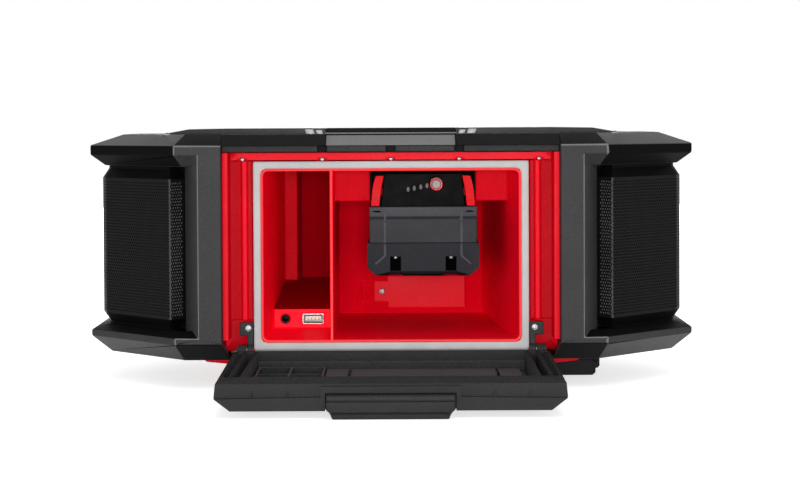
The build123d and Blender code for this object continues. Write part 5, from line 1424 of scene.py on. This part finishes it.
class RADIO_OT_door(bpy.types.Operator):
    """Dresses the drop-down door, its liner and its latch"""
    bl_idname = "radio.door"
    bl_label = "Door"

    panel_finishes = ["door_plastic", "door_rim", "liner_edge"]
    plain, rim, wall = range(3)
    liner_finishes = ["liner_plastic", "liner_edge"]

    def execute(self, context):
        dress(
            "door_panel", 1.0, *SOFT, self.panel_finishes, self.rim_finish, mould=self.sloped_rim, held=True,
        )
        dress("door_liner", 0.45, finishes_used=self.liner_finishes, chooser=self.liner_finish)
        dress("door_latch", 0.9, *SOFT, mould=self.wide_foot)
        self.gussets()
        keep("hinge_pins")
        dress("latch_pin", 0.3, finishes_used=["black_plastic"])
        return {"FINISHED"}

    def gussets(self):
        """Four small webs on the door's front wall, under its rim."""
        corners = ((-127.9, 16.4), (-130.4, 12.4), (-127.9, 12.4))
        faces = [(0, 1, 2), (5, 4, 3), (0, 3, 4, 1), (1, 4, 5, 2), (2, 5, 3, 0)]
        gussets = []
        for x in (-83.3, -62.1, 62.1, 83.3):
            points = [at(x + side, depth, z) for side in (-0.7, 0.7) for depth, z in corners]
            gussets.append(from_points("gusset", points, faces))
            turn_outwards(gussets[-1])
        round_edges(link("rim_gussets", join_meshes("rim_gussets", gussets), "door", "door_rim"), 0.2)

    def rim_finish(self, middle, normal):
        """Painted light on the rim's upper faces, and on the walls between the ladders and the pockets."""
        if abs(normal.x) > 0.5 and 89 < abs(middle[0]) < 104:
            return self.wall
        return self.rim if normal.z > 0.6 and middle[2] > 10 else self.plain

    def liner_finish(self, middle, normal):
        """The liner has one painted-light finish for both."""
        return min(self.rim_finish(middle, normal), self.rim)

    def sloped_rim(self, x, depth, z):
        """Lowers the free edge's outer line and fills out its lower corners."""
        if abs(depth + 128) < 0.3 and z > 23:
            return (x, depth, z - 3.3)
        if depth < -127 and abs(z - 12.7) < 0.4 and abs(x) > 104:
            return (math.copysign(abs(x) + 0.9, x), depth, z - 0.9)
        return (x, depth, z)

    def wide_foot(self, x, depth, z):
        """Steepens the latch's lower corners and draws its lower edge down."""
        if z < 2:
            return (math.copysign(34.8, x) if 28 < abs(x) < 34.5 else x, depth, z - 0.5)
        return (x, depth, z)


class RADIO_OT_handle(bpy.types.Operator):
    """Dresses the carry handle, its grip and the folding antenna"""
    bl_idname = "radio.handle"
    bl_label = "Handle and antenna"

    def execute(self, context):
        dress("carry_handle", 1.2, 3, held=True)
        dress("handle_grip", 1.0, 3)
        self.collars()
        dress("antenna_yoke", 0.4)
        keep("antenna_mast", "antenna_pin")
        return {"FINISHED"}

    def collars(self):
        """Smooth slanted collars between the grip and the handle's arms, two on each side, in a pale grey
        that is a painted glint.
        """
        rings = []
        for sign in (-1, 1):
            for near, far, grow in ((44.6, 49.4, 0.15), (50.4, 56.4, 0.35)):
                profile = ((near, 0.6), (near + 0.5, 0.0), (far - 0.5, 0.0), (far, 0.6))
                loops = [self.collar_loop(sign, x, grow - pull) for x, pull in profile]
                rings.append(strung("collar", loops, closed=False, capped=True))
        collars = join_meshes("handle_glint_collars", rings)
        link("handle_glint_collars", collars, "handle", "collar_plastic", slot="handle_plastic")

    def collar_loop(self, sign, x, grow):
        """A squarish loop round the folded handle, a little larger than it and slanted."""
        around, squareness, lean = 40, 0.3, 0.35
        loop = []
        for step in range(around):
            angle = 2 * math.pi * step / around
            cy, cz = math.cos(angle), math.sin(angle)
            dy = math.copysign(abs(cy) ** squareness, cy) * (9.05 + grow)
            dz = math.copysign(abs(cz) ** squareness, cz) * (5.8 + grow)
            loop.append(at(sign * (x + lean * dz), 23 + dy, 166.5 + dz))
        return loop


class RADIO_OT_tuning_side(bpy.types.Operator):
    """Dresses the knobs, buttons and window of the tuning side and marks them"""
    bl_idname = "radio.tuning_side"
    bl_label = "Tuning side"

    # A figure's seven strokes: how far along, how far up, and whether the stroke lies flat
    bars = {
        "top": (0, 1, True),
        "middle": (0, 0, True),
        "bottom": (0, -1, True),
        "upper_left": (-1, 0.5, False),
        "upper_right": (1, 0.5, False),
        "lower_left": (-1, -0.5, False),
        "lower_right": (1, -0.5, False),
    }
    digits = {
        "1": ("upper_right", "lower_right"),
        "2": ("top", "upper_right", "middle", "lower_left", "bottom"),
        "3": ("top", "upper_right", "middle", "lower_right", "bottom"),
        "5": ("top", "upper_left", "middle", "lower_right", "bottom"),
        "8": tuple(bars),
        "9": ("top", "upper_left", "upper_right", "middle", "lower_right", "bottom"),
    }

    def execute(self, context):
        self.knob("volume_knob", -KNOB_X)
        self.knob("tuning_knob", KNOB_X)
        self.button("power_button", self.power_mark)
        for number in "123":
            self.button("preset_button_" + number, self.preset_mark)
        keep("display_window", "display_module")
        self.reading()
        return {"FINISHED"}

    def knob(self, node, x):
        """A knob with a spun face, a pointer line and ticks round its collar."""
        dress(node, 0.5)
        profile = [(0.05, 0.12), (12.6, 0.12), (13.2, -0.1), (13.5, -1.2), (0.05, -1.2)]
        face = turned("face", profile, at(x, 185.9, KNOB_Z), (0, 1, 0), 64)
        link(node + "_face", face, BODY_OF[node], "knob_face")
        line = block("line", (x - 0.7, 185.6, 121.2), (x + 0.7, 186.05, 127.6))
        round_edges(link(node + "_line", line, BODY_OF[node], "mark_white"), 0.12)
        self.ticks(x, node)

    def button(self, node, mark):
        """A push button with its mark in the middle of its face."""
        dress(node, 0.5)
        low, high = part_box(node)
        spot = ((low.x + high.x) / 2 / MM, (low.z + high.z) / 2 / MM)
        face = high.y / MM - GASKET_Y
        made = mark(node, spot, face - 0.2, face + 0.06)
        link(node + "_mark", made, BODY_OF[node], "mark_white")

    def preset_mark(self, node, middle, near, far):
        """The preset's number, which ends its node's name."""
        return self.digit(node[-1], middle, 2.1, 3.6, 0.7, near, far)

    def digit(self, sign, middle, half_width, half_height, width, near, far):
        """One figure of straight strokes, seen from the tuning side, where right is towards -x."""
        parts = []
        for bar in self.digits[sign]:
            along, up, flat = self.bars[bar]
            x, z = middle[0] - along * half_width, middle[1] + up * half_height
            tip, gap = width / 2, width * 0.35
            if flat:
                reach = half_width - gap
                outline = [(x - reach, z), (x - reach + tip, z - tip), (x + reach - tip, z - tip)]
                outline += [(x + reach, z), (x + reach - tip, z + tip), (x - reach + tip, z + tip)]
            else:
                reach = half_height / 2 - gap
                outline = [(x, z - reach), (x + tip, z - reach + tip), (x + tip, z + reach - tip)]
                outline += [(x, z + reach), (x - tip, z + reach - tip), (x - tip, z - reach + tip)]
            parts.append(prism("bar", outline, near, far))
        return join_meshes("digit", parts)

    def power_mark(self, node, middle, near, far):
        """An open ring with an upright stroke in its gap."""
        parts = []
        inner, outer, half_stroke = 2.5, 3.2, 0.35
        turns = [math.radians(degrees) for degrees in range(130, 411, 20)]
        for first, second in zip(turns, turns[1:]):
            corners = ((inner, first), (outer, first), (outer, second), (inner, second))
            arc = [(middle[0] + r * math.cos(a), middle[1] + r * math.sin(a)) for r, a in corners]
            parts.append(prism("arc", arc, near, far))
        corners = ((-half_stroke, 0.8), (half_stroke, 0.8), (half_stroke, 3.6), (-half_stroke, 3.6))
        stroke = [(middle[0] + x, middle[1] + z) for x, z in corners]
        parts.append(prism("stroke", stroke, near, far))
        return join_meshes("power_mark", parts)

    def ticks(self, x, node):
        """Eleven strokes on the collar round a knob."""
        parts = []
        inner, outer, half_width = 19.6, 21.0, 0.3
        stroke = ((inner, -half_width), (outer, -half_width), (outer, half_width), (inner, half_width))
        for step in range(11):
            angle = math.radians(240 - 30 * step)
            along = Vector((math.cos(angle), math.sin(angle)))
            across = Vector((-along.y, along.x))
            corners = [Vector((x, KNOB_Z)) + along * r + across * w for r, w in stroke]
            parts.append(prism("tick", [tuple(corner) for corner in corners], 169.1, 169.45))
        link(node + "_ticks", join_meshes("ticks", parts), "housing", "mark_white")

    def reading(self):
        """The tuned frequency and the strength of its signal on the display."""
        near, far = 165.8, 166.12
        parts = []
        for sign, x in (("9", 20), ("8", 5), ("5", -13)):
            parts.append(self.digit(sign, (x, 124), 4.6, 8.6, 1.9, near, far))
        point = [(-5.2, 114.6), (-3.4, 114.6), (-3.4, 116.4), (-5.2, 116.4)]
        parts.append(prism("point", point, near, far))
        foot = 115.4
        for step in range(5):
            x, top = -27 - 3.2 * step, foot + (2.4 + 1.9 * step)
            column = [(x - 1, foot), (x + 1, foot), (x + 1, top), (x - 1, top)]
            parts.append(prism("strength", column, near, far))
        link("display_reading", join_meshes("reading", parts), "housing", "digit_ink")


class RADIO_OT_sockets(bpy.types.Operator):
    """Dresses the sockets, the mains inlet and the feet"""
    bl_idname = "radio.sockets"
    bl_label = "Sockets and fixings"

    def execute(self, context):
        dress("aux_jack", 0.2)
        self.usb()
        dress("inlet_housing", 0.4)
        dress("inlet_hatch", 0.3)
        dress("feet", 0.5)
        keep("inlet_socket")
        return {"FINISHED"}

    def usb(self):
        """Folded steel shell, a pale tongue painted lighter for the light it reflects, and four contacts."""
        middle = (-53.85, 41.6)
        section = (
            (7.25, 3.6, 0.9, 44), (7.25, 3.6, 0.9, 29.8), (7.0, 3.35, 0.7, 29.5),
            (6.6, 2.95, 0.5, 29.8), (6.6, 2.95, 0.5, 43.2),
        )
        shell = strung("usb_shell", [rounded_loop(middle, *values, 3) for values in section])
        link("usb_shell", shell, "housing", "contact_metal", "usb_socket")
        # Pale plastic, partly a painted reflection: the tongue and its back are painted near-white for the
        # light the tongue reflects.
        back = block("usb_back", (-60.4, 42.2, 38.7), (-47.3, 43.4, 44.5))
        tongue = block("usb_tongue", (-59.0, 30.2, 40.9), (-48.2, 42.6, 43.5))
        white = join_meshes("usb_tongue", [back, tongue])
        round_edges(link("usb_tongue", white, "housing", "socket_white"), 0.2)
        strips = []
        for x in (-57.2, -54.8, -52.4, -50.0):
            strips.append(block("strip", (x - 0.45, 30.0, 40.7), (x + 0.45, 41.5, 42.3)))
        round_edges(link("usb_contacts", join_meshes("usb_contacts", strips), "housing", "brass"), 0.1)


class RADIO_OT_works(bpy.types.Operator):
    """Finishes what is inside: drivers, radiators, boards, supply and cells"""
    bl_idname = "radio.works"
    bl_label = "Works"

    def execute(self, context):
        for side in ("left", "right"):
            keep("driver_frame_" + side, "driver_cone_" + side, "passive_radiator_" + side)
        keep("main_board", "power_supply", "heat_sink", "backup_cells")
        return {"FINISHED"}


PIECES = (
    RADIO_OT_stage,
    RADIO_OT_guards,
    RADIO_OT_grilles,
    RADIO_OT_body,
    RADIO_OT_screws,
    RADIO_OT_battery,
    RADIO_OT_door,
    RADIO_OT_handle,
    RADIO_OT_tuning_side,
    RADIO_OT_sockets,
    RADIO_OT_works,
)


class RADIO_PT_pieces(bpy.types.Panel):
    """Lists the radio's pieces in the sidebar"""
    bl_label = "Jobsite radio"
    bl_idname = "RADIO_PT_pieces"
    bl_space_type = "VIEW_3D"
    bl_region_type = "UI"
    bl_category = "Radio"

    def draw(self, context):
        column = self.layout.column(align=True)
        for piece in PIECES:
            column.operator(piece.bl_idname)
        for group in ("radio_sizes", "radio_colours", "radio_studio"):
            settings = getattr(context.scene, group)
            part = self.layout.column()
            for name in settings.__annotations__:
                part.prop(settings, name)


CLASSES = (RadioColours, RadioSizes, RadioStudio, *PIECES, RADIO_PT_pieces)


def register():
    for each in CLASSES:
        bpy.utils.register_class(each)
    bpy.types.Scene.radio_colours = PointerProperty(type=RadioColours)
    bpy.types.Scene.radio_sizes = PointerProperty(type=RadioSizes)
    bpy.types.Scene.radio_studio = PointerProperty(type=RadioStudio)


def unregister():
    del bpy.types.Scene.radio_studio, bpy.types.Scene.radio_sizes, bpy.types.Scene.radio_colours
    for each in reversed(CLASSES):
        bpy.utils.unregister_class(each)


def main():
    register()
    for piece in PIECES:
        section, name = piece.bl_idname.split(".")
        getattr(getattr(bpy.ops, section), name)()


if __name__ == "__main__":
    main()
